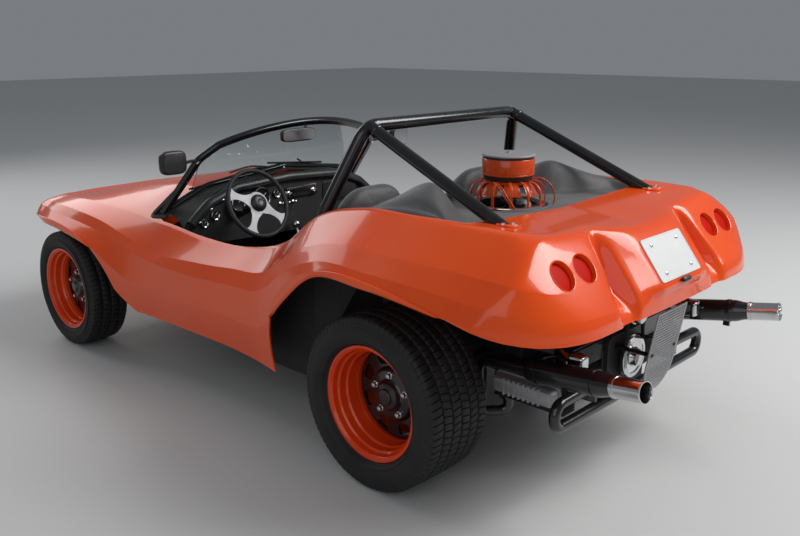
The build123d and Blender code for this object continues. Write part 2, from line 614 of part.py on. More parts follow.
with BuildPart() as exhaust_right:
    add(exhaust_left.part)
    mirror(about=Plane.YZ, mode=Mode.REPLACE)
save(exhaust_right.part, "exhaust_right")

# Rear tube bumper round the engine, and the front one
BAR_R = 19.0
REAR_BAR = ((250, aft(572), 402), (505, aft(578), 400), (505, aft(578), 318))
with BuildPart() as rear_bumper:
    add(tube(list(REAR_BAR) + [(-x, y, z) for x, y, z in reversed(REAR_BAR)], (40, 40, 40, 40), BAR_R))
    for side in (-1, 1):
        add(rod((side * 368, aft(BARREL_AFT[1] + 78 + FIT), 402), (side * 368, aft(570), 402), 10))
save(rear_bumper.part, "rear_bumper")
# Front beam: two cross tubes, arms with eyes for the kingpins, and the frame head
KINGPIN_X = 545.0
BEAM_AFT = -2297.0
BEAM_Z = (210.0, 380.0)
BEAM_R, BEAM_X = 25.0, 432.0
TOWER_X = 220.0
EYE_R, EYE_H, PIN_R = 22.0, 20.0, 10.0
with BuildPart() as front_beam:
    for z in BEAM_Z:
        add(rod((-BEAM_X, aft(BEAM_AFT), z), (BEAM_X, aft(BEAM_AFT), z), BEAM_R))
        for side in (-1, 1):
            with Locations((side * KINGPIN_X, FRONT_AXLE_Y, z)):
                Cylinder(EYE_R, EYE_H)
            with BuildSketch(Plane.XY.offset(z - EYE_H / 2)):
                with BuildLine():
                    Polyline((side * (BEAM_X - 24), aft(BEAM_AFT)), (side * BEAM_X, aft(BEAM_AFT)),
                             (side * (KINGPIN_X + 4), FRONT_AXLE_Y - 16), (side * (KINGPIN_X - 10), FRONT_AXLE_Y + 14),
                             (side * (BEAM_X - 24), aft(BEAM_AFT) + 46), close=True)
                make_face()
            extrude(amount=EYE_H)
    for side in (-1, 1):
        add(box((side * TOWER_X - 12, aft(BEAM_AFT) - 26, BEAM_Z[0]), (side * TOWER_X + 12, aft(BEAM_AFT) + 26, 450 - FIT)))
        for z in BEAM_Z:
            with Locations((side * KINGPIN_X, FRONT_AXLE_Y, z)):
                Cylinder(PIN_R + RUNNING, 3 * EYE_H, mode=Mode.SUBTRACT)
    add(box((-60, aft(BEAM_AFT), 188), (60, aft(-1900), FLOOR_Z - FIT)))
save(front_beam.part, "front_beam")

with BuildPart() as front_bumper:
    add(tube([(-260, aft(-2600), 430), (260, aft(-2600), 430)], 0, BAR_R))
    for side in (-1, 1):
        add(rod((side * TOWER_X, aft(-2600), 430), (side * TOWER_X, aft(BEAM_AFT) - 26 - FIT, 430), 12))
save(front_bumper.part, "front_bumper")

# Knuckles: post on the kingpin, spindle and steering arm
POST_R, SPINDLE_R = 17.0, 15.0
ARM_L, ARM_Z, ARM_T = 120.0, 285.0, 14.0
BOSS_H = 24.0
SPINDLE_END = 668.0
with BuildPart() as knuckle_left:
    low, high = BEAM_Z[0] + EYE_H / 2 + 1, BEAM_Z[1] - EYE_H / 2 - 1
    with Locations((KINGPIN_X, FRONT_AXLE_Y, (low + high) / 2)):
        Cylinder(POST_R, high - low)
        Cylinder(PIN_R, BEAM_Z[1] - BEAM_Z[0] + EYE_H)
    add(rod((KINGPIN_X, FRONT_AXLE_Y, FRONT_TYRE_R), (SPINDLE_END, FRONT_AXLE_Y, FRONT_TYRE_R), SPINDLE_R))
    add(rod((KINGPIN_X + POST_R - 4, FRONT_AXLE_Y, FRONT_TYRE_R), (576, FRONT_AXLE_Y, FRONT_TYRE_R), 60))
    add(box((KINGPIN_X - 12, FRONT_AXLE_Y, ARM_Z - ARM_T / 2), (KINGPIN_X + 6, FRONT_AXLE_Y + ARM_L + 12, ARM_Z + ARM_T / 2)))
with BuildPart() as knuckle_right:
    add(knuckle_left.part)
    mirror(about=Plane.YZ, mode=Mode.REPLACE)
save(knuckle_left.part, "knuckle_left")
save(knuckle_right.part, "knuckle_right")

with BuildPart() as tie_rod:
    end = KINGPIN_X - 3
    add(rod((-end, FRONT_AXLE_Y + ARM_L, ARM_Z - 26), (end, FRONT_AXLE_Y + ARM_L, ARM_Z - 26), 8))
    for side in (-1, 1):
        with Locations((side * end, FRONT_AXLE_Y + ARM_L, ARM_Z - ARM_T / 2 - FIT - BOSS_H / 2)):
            Cylinder(11, BOSS_H)
save(tie_rod.part, "tie_rod")

# Gearbox, axle tubes and rear arms
AXLE_END = 452.0
with BuildPart() as transaxle:
    add(rod((0, aft(-340), 330), (0, aft(CRANK_AFT[0] - FIT), 330), 105))
    add(rod((-AXLE_END, aft(0), REAR_TYRE_R), (AXLE_END, aft(0), REAR_TYRE_R), 32))
    add(rod((-470, aft(-395), 262), (470, aft(-395), 262), 30))
    for side in (-1, 1):
        add(box((side * 80 - 16, aft(-560), 238), (side * 80 + 16, aft(-300), 290)) - side_prism(TUB_SIDE, 700, FIT))
        add(box((side * 440 - 5, aft(-395), 235), (side * 440 + 5, aft(20), 340)))
        add(rod((side * AXLE_END, aft(0), REAR_TYRE_R), (side * (AXLE_END + 12), aft(0), REAR_TYRE_R), 118))
        add(rod((side * AXLE_END, aft(0), REAR_TYRE_R), (side * 640, aft(0), REAR_TYRE_R), 18))
save(transaxle.part, "transaxle")

# Lamps and plate
LAMP_X, LAMP_AFT, LAMP_Z, LAMP_R = 505.0, -2606.0, 570.0, 75.0
with BuildPart() as headlamps:
    for side in (-1, 1):
        add(rod((side * LAMP_X, aft(LAMP_AFT), LAMP_Z), (side * LAMP_X, aft(LAMP_AFT + 90), LAMP_Z), LAMP_R))
        low, high = sorted((side * (PAN_X + FIT), side * (LAMP_X - 60)))
        add(box((low, aft(LAMP_AFT + 45), LAMP_Z - 12), (high, aft(LAMP_AFT + 85), LAMP_Z + 12)))
save(headlamps.part, "headlamps")

LENS_T = 8.0
with BuildPart() as tail_lamps:
    for lens in lamp_rods(TAIL_LAMP_R - FIT, -CUP_DEPTH + FIT, -CUP_DEPTH + LENS_T):
        add(lens)
save(tail_lamps.part, "tail_lamps")

PLATE_W, PLATE_H, PLATE_T, PLATE_Z = 276.0, 158.0, 3.0, 796.0
with BuildPart() as number_plate:
    with BuildSketch(Plane(origin=on_tail(0, PLATE_Z, PANEL_RISE * cos(lean) + FIT), x_dir=(-1, 0, 0),
                           z_dir=tail_normal)):
        Rectangle(PLATE_W, PLATE_H)
    extrude(amount=PLATE_T)
save(number_plate.part, "number_plate")

# Wheels: side, axle y, tyre radius, inner and outer x of the tyre, lip x, disc x, drum x from and to
WHEELS = (
    ("front_left", 1, FRONT_AXLE_Y, FRONT_TYRE_R, FRONT_TYRE_IN, FRONT_TYRE_OUT, FRONT_LIP_X, 690, 582, 640, SPINDLE_R),
    ("front_right", -1, FRONT_AXLE_Y, FRONT_TYRE_R, FRONT_TYRE_IN, FRONT_TYRE_OUT, FRONT_LIP_X, 690, 582, 640, SPINDLE_R),
    ("rear_left", 1, REAR_AXLE_Y, REAR_TYRE_R, REAR_TYRE_IN, REAR_TYRE_OUT, REAR_LIP_X, 640, 470, 560, 18),
    ("rear_right", -1, REAR_AXLE_Y, REAR_TYRE_R, REAR_TYRE_IN, REAR_TYRE_OUT, REAR_LIP_X, 640, 470, 560, 18),
)
RIM_WALL = 7.0
SEAT_R = 190.0                # the tyre's bead sits here
WELL_R = 165.0                # the rim's inner barrel
DISC_HOLES = 8


def spun(points, side, axle_y, radius):
    """Closed profile (x, distance from the axle) turned round the wheel's axle."""
    with BuildPart() as turned:
        with BuildSketch(Plane.XZ.offset(-axle_y)):
            with BuildLine():
                Polyline(*[(side * x, radius + r) for x, r in points], close=True)
            make_face()
        revolve(axis=Axis((0, axle_y, radius), (1, 0, 0)))
    return turned.part


for name, side, axle_y, radius, x_in, x_out, lip, disc, drum_in, drum_out, shaft in WHEELS:
    mid, half = (x_in + x_out) / 2, (x_out - x_in) / 2
    tyre = spun(((x_in + 22, SEAT_R + FIT), (x_in + 4, SEAT_R + 26), (x_in, SEAT_R + 62), (x_in + 12, radius - 26),
                 (x_in + 32, radius - 3), (mid, radius), (x_out - 32, radius - 3), (x_out - 12, radius - 26),
                 (x_out, SEAT_R + 62), (lip - 5, LIP_R + 2), (lip - 10 - 2 * FIT, SEAT_R + FIT)), side, axle_y, radius)
    save(tyre, f"tyre_{name}")
    rim_in = x_in + 14
    bead_in, bead_out = rim_in + 8, lip - 14
    rim = spun(((rim_in, SEAT_R - 4), (bead_in, SEAT_R), (bead_in + 40, SEAT_R), (mid, SEAT_R - 6), (bead_out, SEAT_R),
                (lip - 10, SEAT_R), (lip - 4, LIP_R), (lip, LIP_R), (lip, LIP_R - 6), (lip - 4, SEAT_R - 4),
                (bead_out, SEAT_R - RIM_WALL), (disc + 22, SEAT_R - RIM_WALL - 4),
                (disc + 10, WELL_R), (disc - 14, WELL_R), (disc - 30, SEAT_R - 14), (bead_in + 6, SEAT_R - RIM_WALL)),
               side, axle_y, radius)
    save(rim, f"rim_{name}")
    with BuildPart() as centre:
        add(spun(((disc - 6, WELL_R - FIT), (disc - 6, 95), (disc + 14, 88), (disc + 14, 60), (disc + 34, 52),
                  (disc + 34, shaft + 10), (disc + 42, shaft + 10), (disc + 42, 0.0), (disc + 30, 0.0),
                  (disc + 30, shaft + RUNNING), (drum_in, shaft + RUNNING), (drum_in, 112), (drum_out, 118),
                  (drum_out, 70), (disc - 20, 70), (disc - 14, WELL_R - FIT)), side, axle_y, radius))
        with Locations(Plane(origin=(side * disc, axle_y, radius), z_dir=(1, 0, 0))):
            with PolarLocations(128, DISC_HOLES):
                Cylinder(22, 120, mode=Mode.SUBTRACT)
    save(centre.part, f"wheel_centre_{name}")
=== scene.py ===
"""Dune buggy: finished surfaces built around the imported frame.

Lengths are in millimetres until a piece is made, in the row frame: +X is the car's left side,
-Y its front, +Z up, and z = 0 the ground. A surface is computed as whole arrays of points on a
grid of two parameters, and each function says in words which formula it uses.
"""
from __future__ import annotations

import json
import logging
import math
from dataclasses import dataclass
from enum import Enum
from typing import Callable, Sequence

import bmesh
import bpy
import numpy as np
from mathutils import Matrix, Vector
from mathutils.kdtree import KDTree

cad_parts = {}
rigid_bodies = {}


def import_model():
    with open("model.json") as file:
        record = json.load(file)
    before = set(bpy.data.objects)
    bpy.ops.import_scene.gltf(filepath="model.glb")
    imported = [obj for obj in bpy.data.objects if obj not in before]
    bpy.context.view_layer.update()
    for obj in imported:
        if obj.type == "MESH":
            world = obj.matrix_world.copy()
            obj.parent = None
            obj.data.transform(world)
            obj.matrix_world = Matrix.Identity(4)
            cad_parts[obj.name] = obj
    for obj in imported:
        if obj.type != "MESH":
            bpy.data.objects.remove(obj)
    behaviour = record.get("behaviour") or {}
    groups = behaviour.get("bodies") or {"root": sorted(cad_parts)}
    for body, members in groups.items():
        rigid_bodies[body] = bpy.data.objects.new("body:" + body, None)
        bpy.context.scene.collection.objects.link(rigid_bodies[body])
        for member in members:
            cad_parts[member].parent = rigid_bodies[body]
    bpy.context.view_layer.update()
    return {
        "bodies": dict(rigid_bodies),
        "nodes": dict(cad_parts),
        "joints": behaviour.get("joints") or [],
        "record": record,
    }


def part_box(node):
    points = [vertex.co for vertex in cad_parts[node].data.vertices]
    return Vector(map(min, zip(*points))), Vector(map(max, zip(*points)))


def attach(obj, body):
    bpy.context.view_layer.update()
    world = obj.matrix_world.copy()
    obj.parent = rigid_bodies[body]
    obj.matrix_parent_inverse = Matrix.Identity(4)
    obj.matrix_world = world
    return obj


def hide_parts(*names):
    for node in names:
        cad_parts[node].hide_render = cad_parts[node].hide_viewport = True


LOG = logging.getLogger("buggy")
MM = 0.001
REAR_AXLE_Y = 867.8
JOIN = 0.02
LEFT = (1.0, 0.0, 0.0)
UP = (0.0, 0.0, 1.0)
REARWARD = (0.0, 1.0, 0.0)
Array = np.ndarray


def aft(distance: float) -> float:
    """Row-frame Y of a place this far behind the rear axle."""
    return REAR_AXLE_Y + distance


class Slot(str, Enum):
    """Material slots of the record, one for each kind of finish."""

    BODY = "body_orange"
    RIM = "rim_orange"
    CAGE = "cage_orange"
    TRIM = "trim_black"
    PAINT = "black_paint"
    VINYL = "black_vinyl"
    GRIP = "black_rubber"
    PLASTIC = "black_plastic"
    GLASS = "clear_glass"
    ALLOY = "alloy"
    BRIGHT = "bright_metal"
    ENGINE = "engine_metal"
    LENS = "red_lens"
    PLATE = "plate_white"
    TYRE = "tyre_rubber"


class Body(str, Enum):
    """Rigid bodies that pieces ride on, beside the wheels."""

    CHASSIS = "chassis"
    STEERING = "steering_wheel"


class Signal:
    """A number socket of a shader. Arithmetic on it adds Math nodes to its graph."""

    def __init__(self, graph: Graph, socket: bpy.types.NodeSocket) -> None:
        """Keep the socket and the graph it belongs to."""
        self.graph = graph
        self.socket = socket

    def math(self, operation: str, *values: Signal | float) -> Signal:
        """Add one Math node.

        Args:
            operation: Blender's name of the operation.
            values: the operands after this one.

        Returns:
            The node's result.
        """
        return self.graph.math(operation, self, *values)

    def __add__(self, other: Signal | float) -> Signal:
        """Sum of two values."""
        return self.math("ADD", other)

    __radd__ = __add__

    def __mul__(self, other: Signal | float) -> Signal:
        """Product of two values."""
        return self.math("MULTIPLY", other)

    __rmul__ = __mul__

    def step(self, low: float, high: float) -> Signal:
        """Smooth step from 0 at one value to 1 at another.

        Args:
            low: value at which the step starts.
            high: value at which it ends.

        Returns:
            The stepped value.
        """
        made = self.graph.node("ShaderNodeMapRange", {"interpolation_type": "SMOOTHSTEP"},
                               {"Value": self, "From Min": low, "From Max": high})
        return Signal(self.graph, made.outputs["Result"])


class Graph:
    """Nodes of one material, added through a single method."""

    def __init__(self, name: str) -> None:
        """Make an empty material with its output node.

        Args:
            name: name of the material.
        """
        self.material = bpy.data.materials.new(name)
        self.material.use_nodes = True
        self.tree = self.material.node_tree
        self.tree.nodes.clear()
        self.output = self.tree.nodes.new("ShaderNodeOutputMaterial")

    def node(self, kind: str, settings: dict | None = None, sockets: dict | None = None) -> bpy.types.Node:
        """Add a node.

        Args:
            kind: Blender's type name of the node.
            settings: properties, which are set first.
            sockets: values or links by input name, or by number where names repeat.

        Returns:
            The node.
        """
        made = self.tree.nodes.new(kind)
        for name, value in (settings or {}).items():
            setattr(made, name, value)
        for name, value in (sockets or {}).items():
            self.feed(made.inputs[name], value)
        return made

    def feed(self, socket: bpy.types.NodeSocket, value: object) -> None:
        """Link a socket to a signal or a socket, or give it a plain value. A colour gets its alpha.

        Args:
            socket: an input.
            value: a signal, a socket or a plain value.
        """
        source = value.socket if isinstance(value, Signal) else value
        if isinstance(source, bpy.types.NodeSocket):
            self.tree.links.new(source, socket)
        else:
            socket.default_value = (*source, 1.0) if socket.type == "RGBA" else source

    def math(self, operation: str, *values: Signal | float) -> Signal:
        """Add a Math node with these operands."""
        made = self.node("ShaderNodeMath", {"operation": operation}, dict(enumerate(values)))
        return Signal(self, made.outputs[0])

    def place(self, scale: tuple[float, float, float] = (1, 1, 1)) -> bpy.types.NodeSocket:
        """Object coordinates in metres, stretched by a scale."""
        source = self.node("ShaderNodeTexCoord").outputs["Object"]
        return self.node("ShaderNodeMapping", None, {"Vector": source, "Scale": scale}).outputs[0]

    def noise(self, scale: float, detail: float = 2.0, rough: float = 0.5,
              stretch: tuple[float, float, float] = (1, 1, 1)) -> Signal:
        """Noise on Object coordinates, with its grain per metre.

        Args:
            scale: grains per metre.
            detail: octaves.
            rough: weight of the finer octaves.
            stretch: scale along each axis.

        Returns:
            The noise, from 0 to 1.
        """
        sockets = {"Vector": self.place(stretch), "Scale": scale, "Detail": detail, "Roughness": rough}
        made = self.node("ShaderNodeTexNoise", None, sockets)
        return Signal(self, made.outputs[0])

    def cells(self, scale: float) -> Signal:
        """Distance to the nearest edge of a field of cells.

        Args:
            scale: cells per metre.

        Returns:
            The distance.
        """
        made = self.node("ShaderNodeTexVoronoi", {"feature": "DISTANCE_TO_EDGE"},
                         {"Vector": self.place(), "Scale": scale})
        return Signal(self, made.outputs["Distance"])

    def mix(self, factor: Signal | float, a: tuple, b: tuple) -> bpy.types.NodeSocket:
        """Blend of two colours."""
        return self.node("ShaderNodeMix", {"data_type": "RGBA"}, {0: factor, 6: a, 7: b}).outputs[2]

    def bump(self, height: Signal, depth: float, strength: float) -> bpy.types.NodeSocket:
        """Normal raised by a height, whose full range is a depth in metres."""
        sockets = {"Height": height, "Distance": depth, "Strength": strength}
        return self.node("ShaderNodeBump", None, sockets).outputs[0]

    def finish(self, colour: tuple | bpy.types.NodeSocket, roughness: Signal | float, metallic: float = 0.0,
               normal: bpy.types.NodeSocket | None = None, **plain: float) -> bpy.types.Material:
        """Close the graph with one surface shader.

        Args:
            colour: base colour, plain or linked.
            roughness: plain or linked.
            metallic: 0 or 1.
            normal: linked normal.
            plain: other sockets with one value all over, by name with underscores.

        Returns:
            The material.
        """
        sockets = {"Base Color": colour, "Roughness": roughness, "Metallic": metallic}
        if normal is not None:
            sockets["Normal"] = normal
        for name, value in plain.items():
            sockets[name.replace("_", " ").title().replace("Ior", "IOR")] = value
        surface = self.node("ShaderNodeBsdfPrincipled", None, sockets)
        self.tree.links.new(surface.outputs[0], self.output.inputs[0])
        return self.material


@dataclass(frozen=True)
class GlossPaint:
    """Glossy paint or gel coat: a deep colour under clear coat, with faint orange peel and haze."""

    name: str
    colour: tuple[float, float, float]
    deep: tuple[float, float, float]
    coat: float = 0.45

    def build(self) -> bpy.types.Material:
        """Make the material.

        Returns:
            The material.
        """
        graph = Graph(self.name)
        cloud = graph.noise(3.0, 3.0).step(0.3, 0.7)
        peel = graph.noise(420.0, 1.0)
        haze = graph.noise(9.0, 4.0, 0.6)
        return graph.finish(graph.mix(cloud, self.colour, self.deep), haze * 0.14 + 0.16,
                            normal=graph.bump(peel, 0.00012, 0.25), coat_weight=self.coat,
                            coat_roughness=0.04, specular_ior_level=0.3)


@dataclass(frozen=True)
class BlackCoat:
    """Black paint or moulded plastic, with dust in the roughness and an optional fine texture."""

    name: str
    colour: tuple[float, float, float] = (0.011, 0.011, 0.012)
    roughness: float = 0.25
    grain: float = 0.0
    coat: float = 0.3

    def build(self) -> bpy.types.Material:
        """Make the material.

        Returns:
            The material.
        """
        graph = Graph(self.name)
        dust = graph.noise(14.0, 5.0, 0.6)
        lighter = tuple(min(2.2 * c + 0.006, 0.8) for c in self.colour)
        fine = graph.noise(900.0, 2.0)
        return graph.finish(graph.mix(dust.step(0.5, 0.8) * 0.5, self.colour, lighter),
                            dust * 0.18 + (self.roughness - 0.09),
                            normal=graph.bump(fine, 0.0001 + self.grain, 0.25 if self.grain == 0 else 0.7),
                            coat_weight=self.coat, coat_roughness=0.12)


@dataclass(frozen=True)
class Vinyl:
    """Leather-grained vinyl: fine cells with creases, a soft sheen and lighter rubbed places."""

    name: str
    colour: tuple[float, float, float] = (0.048, 0.048, 0.050)

    def build(self) -> bpy.types.Material:
        """Make the material.

        Returns:
            The material.
        """
        graph = Graph(self.name)
        grain = graph.cells(620.0).step(0.0, 0.22)
        crease = graph.noise(26.0, 4.0, 0.6, (1.0, 1.0, 1.6))
        worn = graph.noise(7.0, 3.0).step(0.45, 0.8)
        pale = tuple(1.9 * c for c in self.colour)
        height = grain * 0.7 + crease * 1.5
        return graph.finish(graph.mix(worn * 0.6, self.colour, pale), worn * 0.12 + (grain * -0.1 + 0.5),
                            normal=graph.bump(height, 0.0005, 0.5), sheen_weight=0.3, specular_ior_level=0.5)


@dataclass(frozen=True)
class Rubber:
    """Tyre rubber or a rubber grip: dull black, browner and paler where dust lies."""

    name: str
    colour: tuple[float, float, float] = (0.012, 0.012, 0.013)
    dusty: tuple[float, float, float] = (0.036, 0.034, 0.032)

    def build(self) -> bpy.types.Material:
        """Make the material.

        Returns:
            The material.
        """
        graph = Graph(self.name)
        dust = graph.noise(11.0, 6.0, 0.65).step(0.42, 0.75)
        fine = graph.noise(700.0, 2.0)
        return graph.finish(graph.mix(dust * 0.55, self.colour, self.dusty), dust * 0.2 + 0.55,
                            normal=graph.bump(fine, 0.00025, 0.5), specular_ior_level=0.35)


@dataclass(frozen=True)
class Metal:
    """Bare or polished metal with small scratches and uneven roughness."""

    name: str
    colour: tuple[float, float, float]
    roughness: float
    scratch: float = 0.2
    metallic: float = 1.0

    def build(self) -> bpy.types.Material:
        """Make the material.

        Returns:
            The material.
        """
        graph = Graph(self.name)
        uneven = graph.noise(22.0, 4.0, 0.6)
        hair = graph.noise(160.0, 3.0, 0.6, (1.0, 12.0, 1.0))
        dark = tuple(0.62 * c for c in self.colour)
        return graph.finish(graph.mix(uneven.step(0.5, 0.85) * 0.4, self.colour, dark),
                            uneven * 0.16 + (self.roughness - 0.05), self.metallic,
                            graph.bump(hair, 0.00015, self.scratch))


@dataclass(frozen=True)
class Clear:
    """Window glass, or a coloured lens."""

    name: str
    colour: tuple[float, float, float]
    roughness: float = 0.02
    through: float = 1.0
    ribs: float = 0.0
    shine: float = 0.5

    def build(self) -> bpy.types.Material:
        """Make the material.

        Returns:
            The material.
        """
        graph = Graph(self.name)
        film = graph.noise(6.0, 4.0)
        lines = graph.noise(90.0, 1.0)
        normal = graph.bump(lines, 0.0006, self.ribs) if self.ribs else None
        return graph.finish(self.colour, film * 0.03 + self.roughness, 0.0, normal,
                            transmission_weight=self.through, specular_ior_level=self.shine, ior=1.45)


FINISHES: dict[Slot, object] = {
    Slot.BODY: GlossPaint("body_gel_coat", (0.88, 0.088, 0.004), (0.82, 0.072, 0.003)),
    Slot.RIM: GlossPaint("rim_paint", (0.80, 0.06, 0.003), (0.70, 0.04, 0.003)),
    Slot.CAGE: GlossPaint("cage_anodised", (0.62, 0.065, 0.004), (0.50, 0.045, 0.003), 0.4),
    Slot.TRIM: BlackCoat("textured_coat", (0.012, 0.012, 0.012), 0.7, 0.0006, 0.0),
    Slot.PAINT: BlackCoat("black_gloss", (0.008, 0.008, 0.009), 0.2),
    Slot.VINYL: Vinyl("grained_vinyl"),
    Slot.GRIP: Rubber("rubber_grip", (0.014, 0.014, 0.015), (0.03, 0.03, 0.03)),
    Slot.PLASTIC: BlackCoat("moulded_plastic", (0.012, 0.012, 0.013), 0.35, 0.0003, 0.0),
    Slot.GLASS: Clear("window_glass", (0.86, 0.93, 0.94)),
    Slot.ALLOY: Metal("satin_alloy", (0.42, 0.42, 0.43), 0.64),
    Slot.BRIGHT: Metal("polished_metal", (0.66, 0.66, 0.67), 0.11, 0.1),
    Slot.ENGINE: Metal("cast_engine", (0.055, 0.055, 0.058), 0.5, 0.5, 0.6),
    Slot.LENS: Clear("red_lens", (0.52, 0.006, 0.0005), 0.4, 0.0, 0.4, 0.06),
    Slot.PLATE: BlackCoat("plate_white", (0.74, 0.74, 0.73), 0.35),
    Slot.TYRE: Rubber("tyre_rubber"),
}


class Finishes:
    """Materials of the car, each built once and handed out by slot."""

    def __init__(self) -> None:
        """Start with none built."""
        self._made: dict[Slot, bpy.types.Material] = {}

    def get(self, slot: Slot) -> bpy.types.Material:
        """Material of a slot.

        Args:
            slot: the slot.

        Returns:
            Its material.
        """
        if slot not in self._made:
            self._made[slot] = FINISHES[slot].build()
        return self._made[slot]


def unit(vectors: Array) -> Array:
    """Vectors divided by their lengths."""
    return vectors / np.maximum(np.linalg.norm(vectors, axis=-1, keepdims=True), 1e-12)


def turns(count: int, start: float = 0.0) -> Array:
    """Angles at even steps of a full turn, the first at this share of a step."""
    return np.linspace(0, 2 * math.pi, count, endpoint=False) + 2 * math.pi * start / count


def shares_along(points: Array) -> Array:
    """Length along a line up to each of its points, as a share of the whole."""
    length = np.concatenate([[0], np.cumsum(np.linalg.norm(np.diff(points, axis=0), axis=1))])
    return length / length[-1]


def cubic(a: Array, b: Array, slope_a: Array, slope_b: Array, t: Array) -> Array:
    """Cubic from a to b with these slopes at its ends, at shares t of the way."""
    return (a * (2 * t**3 - 3 * t**2 + 1) + b * (3 * t**2 - 2 * t**3)
            + slope_a * (t**3 - 2 * t**2 + t) + slope_b * (t**3 - t**2))


def places_of(mesh: bpy.types.Mesh) -> Array:
    """Places of a mesh's points, in metres.

    Args:
        mesh: the mesh.

    Returns:
        Points (count, 3).
    """
    points = np.empty(len(mesh.vertices) * 3)
    mesh.vertices.foreach_get("co", points)
    return points.reshape(-1, 3)


def put(mesh: bpy.types.Mesh, points: Array) -> None:
    """Move a mesh's points to these places, in metres."""
    mesh.vertices.foreach_set("co", points.ravel())
    mesh.update()


def rounded(points: Sequence[Sequence[float]], bend: float | Sequence[float], steps: int = 6) -> Array:
    """Path of straight runs whose corners are circular arcs.

    At each corner the arc touches both runs at radius times the tangent of half the turn.

    Args:
        points: corners of the path, from end to end.
        bend: one radius, or one for each inner corner.
        steps: spans in each arc.

    Returns:
        Points along the path.
    """
    corners = np.asarray(points, float)
    radii = np.broadcast_to(np.asarray(bend, float), len(corners) - 2)
    path = [corners[0]]
    for before, here, after, radius in zip(corners, corners[1:], corners[2:], radii):
        back, on = unit(before - here), unit(after - here)
        half = math.acos(float(np.clip(back @ on, -1, 1))) / 2
        axis = unit(back + on)
        centre = here + axis * radius / math.sin(half)
        first = here + back * radius / math.tan(half) - centre
        last = here + on * radius / math.tan(half) - centre
        sweep = math.pi - 2 * half
        share = np.linspace(0, 1, steps + 1)[:, None]
        blend = np.sin((1 - share) * sweep) * first + np.sin(share * sweep) * last
        path.extend(centre + blend / math.sin(sweep))
    path.append(corners[-1])
    return np.array(path)


def frames_along(path: Array) -> tuple[Array, Array]:
    """Two unit normals at each point of a path, carried along it with the least twist.

    Args:
        path: points of the path.

    Returns:
        The normals across and up, one of each for every point.
    """
    tangents = unit(np.gradient(path, axis=0))
    start = np.cross(tangents[0], UP)
    if np.linalg.norm(start) < 1e-3:
        start = np.cross(tangents[0], REARWARD)
    side = [unit(start)]
    for tangent in tangents[1:]:
        side.append(unit(side[-1] - tangent * (side[-1] @ tangent)))
    sides = np.array(side)
    return sides, np.cross(tangents, sides)


def tube_grid(path: Sequence[Sequence[float]], radius: float | Array, sides: int) -> Array:
    """Round tube: a circle of the given radius, or radii, carried along a path.

    Args:
        path: middle line.
        radius: one radius, or one for each point.
        sides: points round it.

    Returns:
        Points (rings, sides, 3).
    """
    path = np.asarray(path, float)
    across, up = frames_along(path)
    turn = turns(sides)
    reach = np.broadcast_to(np.asarray(radius, float), len(path))[:, None, None]
    ring = np.cos(turn)[None, :, None] * across[:, None] + np.sin(turn)[None, :, None] * up[:, None]
    return path[:, None] + reach * ring


def signed_power(value: Array, power: float) -> Array:
    """Power of the size of a number, with the number's sign."""
    return np.sign(value) * np.abs(value)**power


